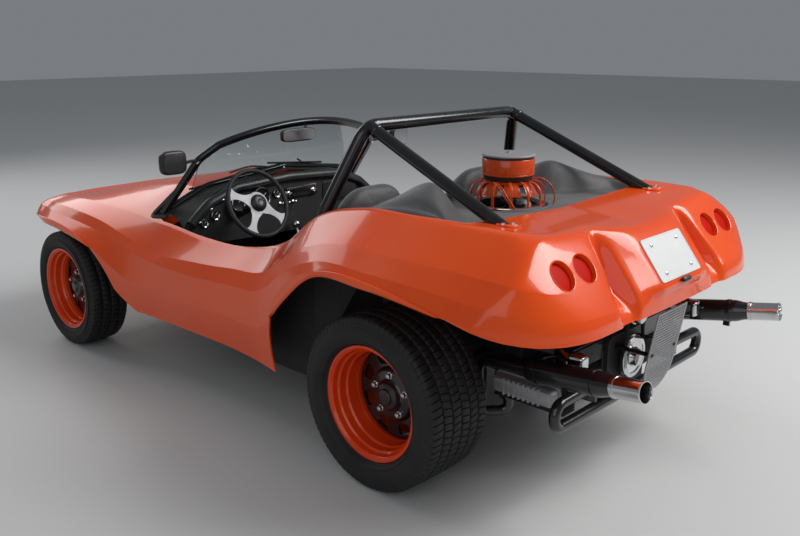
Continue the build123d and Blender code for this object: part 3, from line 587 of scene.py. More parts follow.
class Skin:
    """Grids and prisms gathered into one mesh, which becomes a finished piece."""

    def __init__(self) -> None:
        """Start empty."""
        self._points: list[Array] = []
        self._faces: list[list[int]] = []
        self._count = 0

    def _add(self, points: Array) -> int:
        """Keep points and give the number of the first.

        Args:
            points: array whose last axis is x, y and z.

        Returns:
            The number.
        """
        start = self._count
        self._points.append(points.reshape(-1, 3))
        self._count += len(self._points[-1])
        return start

    def grid(self, points: Array, around: bool = False, along: bool = False) -> Skin:
        """Add a grid of quads, or many of one size.

        Args:
            points: array (rows, columns, 3), with one more axis in front for many grids.
            around: join the last column to the first.
            along: join the last row to the first.

        Returns:
            This skin.
        """
        shape = points.shape[:-1]
        loop = self._add(points) + np.arange(math.prod(shape)).reshape(shape)
        loop = np.concatenate([loop, loop[..., :1]], -1) if around else loop
        loop = np.concatenate([loop, loop[..., :1, :]], -2) if along else loop
        here, after = loop[..., :-1, :], loop[..., 1:, :]
        quads = np.stack([here[..., :-1], here[..., 1:], after[..., 1:], after[..., :-1]], -1)
        self._faces.extend(quads.reshape(-1, 4).tolist())
        return self

    def bar(self, rings: Array) -> Skin:
        """Add closed rings of points (rings, points, 3) joined in order, with a face over each end.

        Args:
            rings: array (rings, points, 3).

        Returns:
            This skin.
        """
        first = self._count
        self.grid(rings, around=True)
        columns = rings.shape[1]
        last = self._count - columns
        self._faces.append(list(range(first + columns - 1, first - 1, -1)))
        self._faces.append(list(range(last, last + columns)))
        return self

    def tube(self, path: Sequence[Sequence[float]], radius: float | Array, sides: int = 20) -> Skin:
        """Add a closed round tube along a path."""
        return self.bar(tube_grid(path, radius, sides))

    def pillow(self, centre: Sequence[float], half: Sequence[float], axes: Array, corner: float = 0.5,
               rows: int = 24, columns: int = 40) -> Skin:
        """Add a rounded box: a stretched sphere whose sines and cosines are raised to a power.

        Args:
            centre: middle of the box.
            half: half sizes along the three axes.
            axes: three unit vectors.
            corner: power, where 1 is an egg and near 0 a sharp box.
            rows: points from end to end along the first axis.
            columns: points round it.

        Returns:
            This skin.
        """
        tilt = np.linspace(-math.pi / 2, math.pi / 2, rows)[:, None]
        turn = turns(columns)[None, :]
        girth = np.maximum(np.cos(tilt), 0)**corner
        local = np.stack([signed_power(np.sin(tilt), corner) * np.ones_like(turn),
                          girth * signed_power(np.cos(turn), corner),
                          girth * signed_power(np.sin(turn), corner)], -1)
        return self.grid(np.asarray(centre) + (local * np.asarray(half)) @ np.asarray(axes), around=True)

    def turned(self, profile: Sequence[Sequence[float]], centre: Sequence[float], axis: Sequence[float],
               steps: int = 64, ring: bool = False) -> Skin:
        """Add a surface of revolution: a profile (along the axis, distance from it) turned a full circle.

        A ring's profile closes on itself. Any other starts and ends on the axis.

        Args:
            profile: points (along, distance).
            centre: origin of the profile on the axis.
            axis: direction of the axis.
            steps: points round it.
            ring: whether the profile is closed.

        Returns:
            This skin.
        """
        line = np.asarray(profile, float)
        along = unit(np.asarray(axis, float))
        guide = UP if abs(along[2]) < 0.9 else REARWARD
        u = unit(np.cross(guide, along))
        v = np.cross(along, u)
        turn = turns(steps)
        out = np.cos(turn)[:, None] * u + np.sin(turn)[:, None] * v
        points = np.asarray(centre, float) + line[:, None, :1] * along + line[:, None, 1:] * out
        return self.grid(points, around=True, along=ring)

    def prism(self, outline: Sequence[Sequence[float]], shift: Sequence[float]) -> Skin:
        """Add a flat outline of points carried by a shift, closed at both ends."""
        ring = np.asarray(outline, float)
        return self.bar(np.stack([ring, ring + np.asarray(shift, float)]))

    def block(self, a: Sequence[float], b: Sequence[float]) -> Skin:
        """Add a box between two opposite corners."""
        (x0, y0, z0), (x1, y1, z1) = np.minimum(a, b), np.maximum(a, b)
        return self.prism([(x0, y0, z0), (x1, y0, z0), (x1, y1, z0), (x0, y1, z0)], (0, 0, z1 - z0))

    def mirrored(self) -> Skin:
        """Add the mirror image of all that is here, across x = 0.

        Returns:
            This skin.
        """
        points = np.concatenate(self._points) * (-1, 1, 1)
        start, faces = self._add(points), list(self._faces)
        self._faces.extend([[start + i for i in reversed(face)] for face in faces])
        return self

    def mesh(self, name: str, merge: float = JOIN, outward: bool = True) -> bpy.types.Object:
        """Make the mesh object in metres, with doubles merged.

        Args:
            name: name of the object.
            merge: distance in millimetres within which the points on open borders are joined.
            outward: turn the faces outwards.

        Returns:
            The object.
        """
        data = bpy.data.meshes.new(name)
        data.from_pydata((np.concatenate(self._points) * MM).tolist(), [], self._faces)
        made = bpy.data.objects.new(name, data)
        bpy.context.scene.collection.objects.link(made)
        work = bmesh.new()
        work.from_mesh(data)
        bmesh.ops.remove_doubles(work, verts=work.verts, dist=JOIN * MM)
        border = [vertex for vertex in work.verts if vertex.is_boundary]
        bmesh.ops.remove_doubles(work, verts=border, dist=merge * MM)
        bmesh.ops.dissolve_degenerate(work, edges=work.edges, dist=1e-7)
        if outward:
            bmesh.ops.recalc_face_normals(work, faces=work.faces)
        work.to_mesh(data)
        work.free()
        return made


class Workshop:
    """Turns skins into pieces: the material of a slot, smoothing, bevel and body, and hides the frame nodes
    they stand for.
    """

    def __init__(self, finishes: Finishes) -> None:
        """Keep the finishes."""
        self.finishes = finishes

    def piece(self, skin: Skin, name: str, slot: Slot, body: str = Body.CHASSIS,
              replaces: Sequence[str] = (), bevel: float = 0.0, crease: float = 35.0) -> bpy.types.Object:
        """Make one finished piece of a skin. The other arguments are those of dress."""
        return self.dress(skin.mesh(name), slot, body, replaces, bevel, crease)

    def dress(self, made: bpy.types.Object, slot: Slot, body: str, replaces: Sequence[str] = (),
              bevel: float = 0.0, crease: float = 35.0, smooth: int = 0) -> bpy.types.Object:
        """Give a mesh object the material of its slot, its modifiers and its body.

        Args:
            made: the object.
            slot: finish.
            body: rigid body that it rides on.
            replaces: frame nodes that it stands for.
            bevel: width of the rounded edges, in millimetres.
            crease: angle in degrees above which an edge stays sharp.
            smooth: subdivision levels.

        Returns:
            The same object, finished.
        """
        made.data.materials.append(self.finishes.get(slot))
        made.data.shade_smooth()
        made.data.set_sharp_from_angle(angle=math.radians(crease))
        if bevel:
            soft = made.modifiers.new("edges", "BEVEL")
            soft.width = bevel * MM
            soft.segments = 2
            soft.limit_method = "ANGLE"
            soft.angle_limit = math.radians(crease)
            soft.harden_normals = True
        if smooth:
            finer = made.modifiers.new("smooth", "SUBSURF")
            finer.levels = finer.render_levels = smooth
        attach(made, str(body.value if isinstance(body, Body) else body))
        if replaces:
            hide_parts(*replaces)
        LOG.info("piece %s: %d faces", made.name, len(made.data.polygons))
        return made


def smoothed(points: Sequence[Sequence[float]], steps: int = 8) -> Array:
    """Curve through points: cubic spans whose slope at a point is half the step between its neighbours.

    Args:
        points: points to run through, flat or in space.
        steps: spans between two of them.

    Returns:
        Points along the curve.
    """
    p = np.asarray(points, float)
    slope = (np.vstack([p[1:], 2 * p[-1:] - p[-2:-1]]) - np.vstack([2 * p[:1] - p[1:2], p[:-1]])) / 2
    t = np.linspace(0, 1, steps, endpoint=False)[None, :, None]
    run = cubic(p[:-1, None], p[1:, None], slope[:-1, None], slope[1:, None], t)
    return np.concatenate([run.reshape(-1, p.shape[1]), p[-1:]])


def loop_rect(width: float, height: float, radius: float, steps: int = 4) -> Array:
    """Closed outline of a rectangle about the origin, its corners quarter circles of the given radius.

    Args:
        width: full size along the first axis.
        height: full size along the second.
        radius: radius of the corners.
        steps: spans in each corner.

    Returns:
        Points (count, 2), anticlockwise.
    """
    turn = np.linspace(0, math.pi / 2, steps + 1)
    arc = radius * np.stack([np.cos(turn), np.sin(turn)], -1)
    quarters = []
    for k in range(4):
        cos, sin = (1, 0, -1, 0)[k], (0, 1, 0, -1)[k]
        corner = np.array([(1, 1), (-1, 1), (-1, -1), (1, -1)][k]) * (width / 2 - radius, height / 2 - radius)
        quarters.append(corner + arc @ np.array([(cos, sin), (-sin, cos)]))
    return np.concatenate(quarters)


def carried(path: Array, across: Array, up: Array, section: Array) -> Array:
    """A flat section carried along a path: point + first number times across + second number times up."""
    across, up = np.broadcast_to(across, path.shape), np.broadcast_to(up, path.shape)
    return path[:, None] + section[None, :, :1] * across[:, None] + section[None, :, 1:] * up[:, None]


def laid(outline: Sequence[Sequence[float]], centre: Sequence[float], across: Sequence[float] = LEFT,
         up: Sequence[float] = UP) -> Array:
    """A flat outline laid out from a centre: first number times across + second number times up."""
    flat = np.asarray(outline, float)
    return np.asarray(centre, float) + flat[:, :1] * across + flat[:, 1:] * up


def leaning(angle: float) -> Array:
    """Unit vector that points aft and rises by an angle."""
    return np.array([0, math.cos(angle), math.sin(angle)])


def carve(made: bpy.types.Object, cutter: Skin) -> None:
    """Apply what modifiers a piece has, then take a cutter's volume out of it.

    Args:
        made: the piece.
        cutter: closed skin of the volume to take out.
    """
    tool = cutter.mesh("cutter")
    hole = made.modifiers.new("holes", "BOOLEAN")
    hole.operation, hole.object, hole.solver = "DIFFERENCE", tool, "EXACT"
    bpy.context.view_layer.update()
    done = bpy.data.meshes.new_from_object(made.evaluated_get(bpy.context.evaluated_depsgraph_get()))
    made.modifiers.clear()
    made.data = done
    bpy.data.objects.remove(tool)


# Body sections, nose to tail, one half of each: aft of the rear axle, top z, hood x z, crest x z, rib x z,
# edge x z, lip x z, sill x
BODY_ROWS = (
    (-2625, 668, 320, 666, 470, 662, 545, 654, 580, 645, 605, 628, 600),
    (-2590, 700, 350, 697, 520, 690, 605, 678, 645, 662, 668, 632, 665),
    (-2450, 722, 380, 716, 575, 708, 665, 691, 700, 668, 738, 622, 735),
    (-2167, 776, 400, 765, 600, 727, 690, 693, 722, 655, 772, 612, 770),
    (-1880, 834, 370, 822, 600, 722, 690, 668, 716, 624, 764, 556, 760),
    (-1660, 880, 400, 852, 605, 716, 690, 624, 714, 584, 738, 450, 722),
    (-1450, 902, 420, 850, 618, 708, 692, 592, 716, 560, 722, 420, 704),
    (-1150, 900, 440, 822, 620, 684, 696, 602, 718, 550, 722, 420, 700),
    (-850, 900, 440, 810, 620, 692, 702, 628, 724, 566, 726, 430, 702),
    (-600, 905, 440, 850, 618, 756, 716, 664, 742, 596, 748, 450, 730),
    (-420, 910, 450, 898, 610, 886, 735, 770, 772, 706, 788, 600, 770),
    (-200, 920, 450, 930, 602, 948, 750, 844, 802, 792, 826, 752, 822),
    (50, 925, 450, 938, 602, 954, 753, 850, 812, 797, 836, 764, 832),
    (350, 924, 450, 942, 600, 956, 750, 848, 811, 787, 836, 738, 830),
    (600, 912, 440, 936, 578, 946, 738, 836, 796, 762, 818, 700, 812),
    (850, 896, 430, 918, 550, 920, 722, 812, 776, 736, 796, 662, 790),
)
CORNER_R = (160.0, 45.0, 10.0, 10.0, 25.0)


class BodyForm:
    """Outer surface of the body: smooth sections between the table's rows.

    A section runs through six spans, from the centre over hood, crest, rib, edge and lip to the sill.
    The parameter q counts the spans, so a whole q is the middle of a rounded corner.
    """

    PER_SPAN = 50
    ARC_SHARE = 0.2
    SILL_Z = 285.0
    DENSE = 900

    def __init__(self) -> None:
        """Work out the dense table of the surface."""
        rows = np.array(BODY_ROWS, float)
        self.aft = rows[:, 0]
        pairs = [(np.zeros(len(rows)), rows[:, 1])]
        pairs += [(rows[:, i], rows[:, i + 1]) for i in range(2, 12, 2)]
        pairs.append((rows[:, 12], np.full(len(rows), self.SILL_Z)))
        corners = np.stack([np.stack(pair, -1) for pair in pairs], 1)
        self.dense = np.linspace(self.aft[0], self.aft[-1], self.DENSE)
        self.table = self._between(self._sections(corners))

    def _sections(self, corners: Array) -> Array:
        """Section points of every row at equal steps of q, with arcs at the inner corners.

        Args:
            corners: the rows' corners (rows, corners, 2).

        Returns:
            Points (rows, steps, 2).
        """
        radii = np.array((0.0,) + CORNER_R + (0.0,))
        into = unit(np.diff(corners, axis=1))
        samples = []
        arcs = [self._arc(corners, into, k, radii[k]) if radii[k] else None for k in range(7)]
        share = np.linspace(0, 1, self.PER_SPAN, endpoint=False)
        for k in range(6):
            start, end = arcs[k], arcs[k + 1]
            low = self.ARC_SHARE if start is not None else 0.0
            high = 1 - self.ARC_SHARE if end is not None else 1.0
            first = start(np.array([1.0])) if start is not None else corners[:, k:k + 1]
            last = end(np.array([0.0])) if end is not None else corners[:, k + 1:k + 2]
            run = np.clip((share - low) / (high - low), 0, 1)[None, :, None]
            points = first * (1 - run) + last * run
            if start is not None:
                inside = share < low
                points[:, inside] = start(0.5 + share[inside] / low * 0.5)
            if end is not None:
                inside = share > high
                points[:, inside] = end((share[inside] - high) / (1 - high) * 0.5)
            samples.append(points)
        samples.append(corners[:, 6:7])
        return np.concatenate(samples, 1)

    @staticmethod
    def _arc(corners: Array, into: Array, k: int, radius: float) -> Callable[[Array], Array]:
        """Function of 0 to 1 along the rounding of one corner, for every row at once.

        Args:
            corners: the rows' corners (rows, corners, 2).
            into: unit vectors along the spans.
            k: number of the corner.
            radius: radius of the rounding.

        Returns:
            Function that gives points (rows, shares, 2).
        """
        before, after = into[:, k - 1], into[:, k]
        turn = np.arccos(np.clip((before * after).sum(-1), -1, 1))
        sign = np.sign(before[:, 0] * after[:, 1] - before[:, 1] * after[:, 0])
        reach = radius * np.tan(turn / 2)
        start = corners[:, k] - before * reach[:, None]
        normal = np.stack([-before[:, 1], before[:, 0]], -1) * sign[:, None]
        centre = start + normal * radius

        def along(share: Array) -> Array:
            """Points at the shares of the rounding.

            Args:
                share: shares from 0 to 1.

            Returns:
                Points (rows, shares, 2).
            """
            angle = (turn * sign)[:, None] * share[None, :]
            arm = (start - centre)[:, None]
            cos, sin = np.cos(angle), np.sin(angle)
            return centre[:, None] + np.stack([arm[..., 0] * cos - arm[..., 1] * sin,
                                               arm[..., 0] * sin + arm[..., 1] * cos], -1)

        return along

    def _between(self, values: Array) -> Array:
        """Cubic curves through the rows, with slopes weighted by the spans on either side.

        Args:
            values: one table of values for each row.

        Returns:
            The same table at every dense place.
        """
        gaps = np.diff(self.aft)
        rise = np.diff(values, axis=0) / gaps[:, None, None]
        slope = np.empty_like(values)
        weight = gaps[1:] / (gaps[:-1] + gaps[1:])
        slope[1:-1] = rise[:-1] * weight[:, None, None] + rise[1:] * (1 - weight)[:, None, None]
        slope[0], slope[-1] = rise[0], rise[-1]
        cell = np.clip(np.searchsorted(self.aft, self.dense, "right") - 1, 0, len(self.aft) - 2)
        t = ((self.dense - self.aft[cell]) / gaps[cell])[:, None, None]
        span = gaps[cell][:, None, None]
        return cubic(values[cell], values[cell + 1], slope[cell] * span, slope[cell + 1] * span, t)

    def at(self, aft: Array, q: Array) -> tuple[Array, Array]:
        """x and z of the surface at any distance aft and any q, by linear steps in the dense table.

        Args:
            aft: distances aft.
            q: spans from the centre.

        Returns:
            x and z.
        """
        aft, q = np.broadcast_arrays(np.asarray(aft, float), np.asarray(q, float))
        row = np.clip((aft - self.dense[0]) / (self.dense[1] - self.dense[0]), 0, self.DENSE - 1.001)
        col = np.clip(q * self.PER_SPAN, 0, self.table.shape[1] - 1.001)
        r, c = row.astype(int), col.astype(int)
        u, v = (row - r)[..., None], (col - c)[..., None]
        grid = self.table
        found = (grid[r, c] * (1 - u) * (1 - v) + grid[r + 1, c] * u * (1 - v)
                 + grid[r, c + 1] * (1 - u) * v + grid[r + 1, c + 1] * u * v)
        return found[..., 0], found[..., 1]

    def crossing(self, q: Array, limit: Callable[[Array, Array], Array], low: float, high: float) -> Array:
        """Distance aft, between two places, at which each q line first meets a limit of x and z.

        Args:
            q: the lines.
            limit: distance aft of the limit at an x and z.
            low: first place to look.
            high: last place to look.

        Returns:
            One distance aft for each line.
        """
        inside = (self.dense >= low) & (self.dense <= high)
        aft = self.dense[inside]
        x, z = self.at(aft[:, None], np.asarray(q)[None, :])
        past = aft[:, None] - limit(x, z)
        hit = np.argmax(past >= 0, axis=0)
        hit = np.where(past[-1] < 0, len(aft) - 1, np.maximum(hit, 1))
        column = np.arange(len(np.atleast_1d(q)))
        a, b = past[hit - 1, column], past[hit, column]
        share = np.clip(-a / np.where(b == a, 1, b - a), 0, 1)
        return aft[hit - 1] + share * (aft[hit] - aft[hit - 1])

    def height(self, x: float, aft: float) -> float:
        """Height of the surface over a point of the plan, on the hood and deck side of the crest.

        Args:
            x: distance from the centre.
            aft: distance aft.

        Returns:
            The height.
        """
        q = np.linspace(0, 2.2, 400)
        xs, zs = self.at(np.full(400, aft), q)
        return float(np.interp(x, xs, zs))


class TailFace:
    """Slanted tail face with its raised panel, facets and grooves, as a distance aft at each x and z."""

    LEAN = math.radians(37.0)
    FACE_AFT, FACE_Z = 615.0, 844.5
    CREASE_Z, BASE_Z = 705.0, 660.0
    CREASE_SOFT = 7.0
    HALF = 872.0
    RISE = 45.0
    # z, corner radius, panel x and rise, facet x and rise, groove floor x in and out and depth, groove edge x
    ROWS = (
        (965, 130, 171, RISE, 255, 3, 273, 288, 18, 303),
        (930, 166, 178, RISE, 255, 3, 275, 297, 25, 311),
        (740, 364, 138, RISE, 256, 5, 284, 340, 66, 369),
        (712, 394, 133, 14, 256, 3, 284, 344, 46, 371),
        (690, 400, 131, 6, 256, 2, 284, 344, 22, 371),
        (655, 400, 130, 4, 256, 1, 286, 342, 8, 371),
    )
    GROOVE_TOP_Z, GROOVE_FADE = 936.0, 24.0
    LAMP_X = (435.0, 554.0)

    def row(self, z: Array) -> Array:
        """Table values at these heights, by straight steps between rows. The last axis is the column."""
        table = np.array(self.ROWS, float)[::-1]
        return np.stack([np.interp(z, table[:, 0], column) for column in table.T], -1)

    def places(self, z: Array) -> Array:
        """x of the six knots across the half face at these heights."""
        row = self.row(z)
        return np.concatenate([np.zeros_like(row[..., :1]), row[..., [2, 4, 6, 7, 9]]], -1)

    def stand_out(self, x: Array, z: Array) -> Array:
        """How far the face stands out, by straight steps between the knots. The grooves fade in downwards.

        Args:
            x: places across.
            z: heights.

        Returns:
            Distances off the plain face.
        """
        x, z = np.broadcast_arrays(np.abs(np.asarray(x, float)), np.asarray(z, float))
        row, places = self.row(z), self.places(z)
        fade = np.clip((self.GROOVE_TOP_Z - z) / self.GROOVE_FADE, 0, 1)
        depth = -row[..., 8] * fade * fade * (3 - 2 * fade)
        raised = np.stack([row[..., 3], row[..., 3], row[..., 5], depth, depth, np.zeros_like(depth)], -1)
        index = np.clip((x[..., None] >= places).sum(-1) - 1, 0, 4)[..., None]
        pick = lambda values, step: np.take_along_axis(values, index + step, -1)[..., 0]
        share = np.clip((x - pick(places, 0)) / (pick(places, 1) - pick(places, 0)), 0, 1)
        return pick(raised, 0) + (pick(raised, 1) - pick(raised, 0)) * share

    def aft_at(self, x: Array, z: Array) -> Array:
        """Distance aft of the face: a leaning plane, a soft crease to the upright strip, and round corners.

        The corner of radius r starts where |x| passes the half width less r, and falls back from there by
        r less the square root of r squared less the squared distance past its start.

        Args:
            x: places across.
            z: heights.

        Returns:
            Distances aft.
        """
        x, z = np.broadcast_arrays(np.asarray(x, float), np.asarray(z, float))
        rise = (z - self.CREASE_Z) / self.CREASE_SOFT
        above = self.CREASE_SOFT * np.where(rise > 30, rise, np.log1p(np.exp(np.minimum(rise, 30))))
        plane = self.FACE_AFT + (self.FACE_Z - self.CREASE_Z - above) * math.tan(self.LEAN)
        radius = self.row(z)[..., 1]
        over = np.clip(np.abs(x) - (self.HALF - radius), 0, radius - 1)
        return plane - radius + np.sqrt(radius**2 - over**2) + self.stand_out(x, z)

    def outward(self) -> Array:
        """Unit normal of the slanted face."""
        return leaning(self.LEAN)

    def point(self, x: float, z: float, proud: float) -> Array:
        """Point of the slanted plane at this x and height, stood off along its normal."""
        y = aft(self.FACE_AFT + (self.FACE_Z - z) * math.tan(self.LEAN))
        return np.array([x, y, z]) + proud * self.outward()

    def lamps(self) -> list[Array]:
        """Centre of each tail lamp on the slanted plane."""
        return [self.point(side * x, self.FACE_Z, 0) for side in (1, -1) for x in self.LAMP_X]


def arc_through(a: Sequence[float], b: Sequence[float], c: Sequence[float], share: Array) -> Array:
    """Points on the circle through three points, at shares of the arc's angle from the first to the last.

    Args:
        a: first point.
        b: a point on the way.
        c: last point.
        share: shares of the angle, from 0 to 1.

    Returns:
        Points (count, 2).
    """
    (ax, ay), (bx, by), (cx, cy) = a, b, c
    d = 2 * (ax * (by - cy) + bx * (cy - ay) + cx * (ay - by))
    sa, sb, sc = ax * ax + ay * ay, bx * bx + by * by, cx * cx + cy * cy
    ux = (sa * (by - cy) + sb * (cy - ay) + sc * (ay - by)) / d
    uy = (sa * (cx - bx) + sb * (ax - cx) + sc * (bx - ax)) / d
    radius = math.hypot(ax - ux, ay - uy)
    start, middle, end = (math.atan2(y - uy, x - ux) for x, y in (a, b, c))
    middle = start + (middle - start + math.pi) % (2 * math.pi) - math.pi
    end = middle + (end - middle + math.pi) % (2 * math.pi) - math.pi
    angle = start + (end - start) * share
    return np.stack([ux + radius * np.cos(angle), uy + radius * np.sin(angle)], -1)


def soften(mesh: bpy.types.Mesh, weights: Array, rounds: int) -> None:
    """Round creases off: each round moves a point towards its neighbours' mean by half its weight.

    Args:
        mesh: mesh to move.
        weights: 0 where a point stays, 1 where it moves most.
        rounds: how often.
    """
    count, points = len(mesh.vertices), places_of(mesh)
    edges = np.empty(len(mesh.edges) * 2, int)
    mesh.edges.foreach_get("vertices", edges)
    a, b = edges[::2], edges[1::2]
    degree = np.maximum(np.bincount(a, minlength=count) + np.bincount(b, minlength=count), 1)[:, None]
    for _ in range(rounds):
        total = np.zeros_like(points)
        for axis in range(3):
            total[:, axis] = np.bincount(a, points[b, axis], count) + np.bincount(b, points[a, axis], count)
        points += 0.5 * weights[:, None] * (total / degree - points)
    put(mesh, points)


@dataclass
class BodyShell:
    """The glass-fibre moulding: nose, hood, fenders, sides, deck and tail in one skin."""

    form: BodyForm
    tail: TailFace
    wall: float = 6.0
    seam_gap: float = 1.5
    cowl_aft: float = -1530.0
    deck_aft: float = 250.0
    lamp_radius: float = 49.0
    cup_depth: float = 26.0
    # Lower edge, nose to tail: three points of each arc or straight, its end on the lip line, columns
    edges: tuple = (
        (((-2625, 624), (-2540, 626), (-2460, 628.2)), -2460, 8),
        (((-2460, 628), (-2230, 636), (-2000, 604)), -2000, 16),
        (((-2000, 604), (-1840, 505), (-1738, 372)), -1738, 14),
        (((-1738, 372), (-1660, 320), (-1585, 285)), -1585, 6),
        (((-1585, 285), (-1558, 285.01), (-1530, 285)), -1530, 3),
        (((-1530, 285), (-1000, 285.01), (-520, 285)), -640, 30),
        (((-520, 285), (-534, 460), (-450, 612)), -440, 16),
        (((-450, 612), (-258, 740), (15, 781)), 15, 20),
    )
    rear_edge_arc: tuple = ((15, 781), (310, 744), (600, 671))

    def edge_z(self, place: Array) -> Array:
        """Height of the lower edge behind the top of the rear arch: an arc, a short slope, then level."""
        arc = arc_through(*self.rear_edge_arc, np.linspace(0, 1, 200))
        return np.interp(place, np.append(arc[:, 0], 690.0), np.append(arc[:, 1], self.tail.BASE_Z))

    def columns(self) -> tuple[Array, Array]:
        """Places of the columns on the lip line as far as the deck, and the lower edge (aft, z) of each.

        Returns:
            The places and the edge points.
        """
        lip, edge = [np.array([-2625.0])], [np.array([[-2625.0, 624.0]])]
        for points, end, count in self.edges:
            share = np.linspace(0, 1, count + 1)[1:]
            lip.append(lip[-1][-1] + (end - lip[-1][-1]) * share)
            edge.append(arc_through(*points, share))
        rear = np.linspace(15, self.deck_aft, 11)[1:]
        lip.append(rear)
        edge.append(np.stack([rear, self.edge_z(rear)], -1))
        return np.concatenate(lip), np.concatenate(edge)

    def seam(self, place: Array) -> Array:
        """q of the line that parts hood and deck from the sides: the opening's side edge, carried on.

        Args:
            place: distances aft.

        Returns:
            One q for each place.
        """
        place = np.clip(place, self.cowl_aft, self.deck_aft)
        q = np.linspace(1.3, 2.4, 500)
        x, _ = self.form.at(place[:, None], q[None, :])
        target = np.interp(place, (-1530, -1480, -440, -330, 250), (590, 607, 607, 583, 568))
        return q[np.argmax(x >= target[:, None], axis=1)]

    @staticmethod
    def patch(top: Array, bottom: Array, left: Array, right: Array) -> Array:
        """Surface between four curves that share their corners: the two ruled surfaces less the corners' own.

        Args:
            top: points from left to right, (columns, k).
            bottom: the same along the other side.
            left: points from top to bottom, (rows, k).
            right: the same along the other side.

        Returns:
            Points (columns, rows, k).
        """
        u = np.linspace(0, 1, len(top))[:, None, None]
        v = shares_along(right)[None, :, None]
        corners = (1 - v) * ((1 - u) * top[0] + u * top[-1]) + v * ((1 - u) * bottom[0] + u * bottom[-1])
        return (1 - v) * top[:, None] + v * bottom[:, None] + (1 - u) * left[None] + u * right[None] - corners

    def side(self, lip_aft: Array, edge: Array, rear_share: Array, seam_q: Array) -> Array:
        """Grid from the seam over rib, edge and lip to the lower edge, nose to tail.

        Args:
            lip_aft: distances aft of the columns on the lip line.
            edge: lower edge (aft, z) of each.
            rear_share: shares of the way from the deck's front to the tail.
            seam_q: q of the seam at each column.

        Returns:
            Points (rows, columns, 3).
        """
        form, tail = self.form, self.tail
        rows = np.concatenate([(2.1, 2.2), np.linspace(2.2, 2.8, 7)[1:], (2.87, 2.94, 3.0, 3.06, 3.13, 3.2),
                               np.linspace(3.2, 3.8, 7)[1:], (3.87, 3.94, 4.0, 4.06, 4.13, 4.2),
                               np.linspace(4.2, 4.8, 4)[1:], (4.86, 4.93, 5.0, 5.07, 5.14, 5.2)])
        rear_q = np.concatenate([[seam_q[-1], (seam_q[-1] + 2.1) / 2], rows])
        rear_end = form.crossing(rear_q, tail.aft_at, 260, 800)
        rear_aft = self.deck_aft + (rear_end[:, None] - self.deck_aft) * rear_share[None, :]
        fore_q = np.concatenate([seam_q[None], (seam_q[None] + 2.1) / 2,
                                 np.broadcast_to(rows[:, None], (len(rows), len(lip_aft)))])
        place = np.concatenate([np.broadcast_to(lip_aft, (len(rear_q), len(lip_aft))), rear_aft[:, 1:]], 1)
        q = np.concatenate([fore_q, np.broadcast_to(rear_q[:, None], rear_aft[:, 1:].shape)], 1)
        x, z = form.at(place, q)
        upper = np.stack([x, place, z], -1)
        end = 560.0
        for _ in range(12):
            sill, _ = form.at(np.array(end), np.array(6.0))
            lip_x, lip_z = form.at(np.array(end), np.array(5.2))
            low_z = float(self.edge_z(np.array(end)))
            low_x = lip_x + (sill - lip_x) * (lip_z - low_z) / (lip_z - form.SILL_Z)
            end = 0.5 * (end + float(tail.aft_at(low_x, low_z)))
        rear_low = self.deck_aft + (end - self.deck_aft) * rear_share[1:]
        low = np.concatenate([edge, np.stack([rear_low, self.edge_z(rear_low)], -1)])
        down = np.linspace(0, 1, 15)[:, None]
        top = upper[-1]
        skirt_aft = top[None, :, 1] * (1 - down) + low[None, :, 0] * down
        skirt_z = top[None, :, 2] * (1 - down) + low[None, :, 1] * down
        x_lip, z_lip = form.at(skirt_aft, 5.2)
        x_sill, _ = form.at(skirt_aft, 6.0)
        fall = (z_lip - skirt_z) / (z_lip - form.SILL_Z)
        skirt = np.stack([x_lip + (x_sill - x_lip) * fall, skirt_aft, skirt_z], -1)
        miss = tail.aft_at(skirt[:, -1, 0], skirt[:, -1, 2]) - skirt[:, -1, 1]
        near = np.clip((np.arange(skirt.shape[1]) - skirt.shape[1] + 7) / 6, 0, 1)
        skirt[..., 1] += miss[:, None] * near[None, :]
        return np.concatenate([upper, skirt[1:]])

    def deck_columns(self, rear_seam: float) -> tuple[Array, Array]:
        """q of the deck's columns, which end at the tail's knots and between them, and their knot numbers.

        Args:
            rear_seam: q of the seam on the deck.

        Returns:
            The q of the columns, and the knot numbers.
        """
        steps = ((0, 0.15, 0.3, 0.45, 0.6, 0.75, 0.88, 0.97), (0, 0.05, 0.25, 0.5, 0.75, 0.95),
                 (0, 0.2, 0.5, 0.8), (0, 0.15, 0.5, 0.85), (0, 0.2, 0.5, 0.8), (0,))
        knot = np.concatenate([i + np.array(share) for i, share in enumerate(steps)])
        places = self.tail.places(np.array(925.0))
        inner = np.interp(knot, np.arange(6), places)
        q = np.linspace(0, rear_seam, 600)
        end = self.form.crossing(q, self.tail.aft_at, 400, 800)
        x, _ = self.form.at(end, q)
        shares = np.array((0.03, 0.1, 0.2, 0.3, 0.4, 0.5, 0.6, 0.7, 0.78, 0.86, 0.93, 1.0))
        outer = inner[-1] + (x[-1] - inner[-1]) * shares
        return np.interp(np.concatenate([inner, outer]), x, q), knot

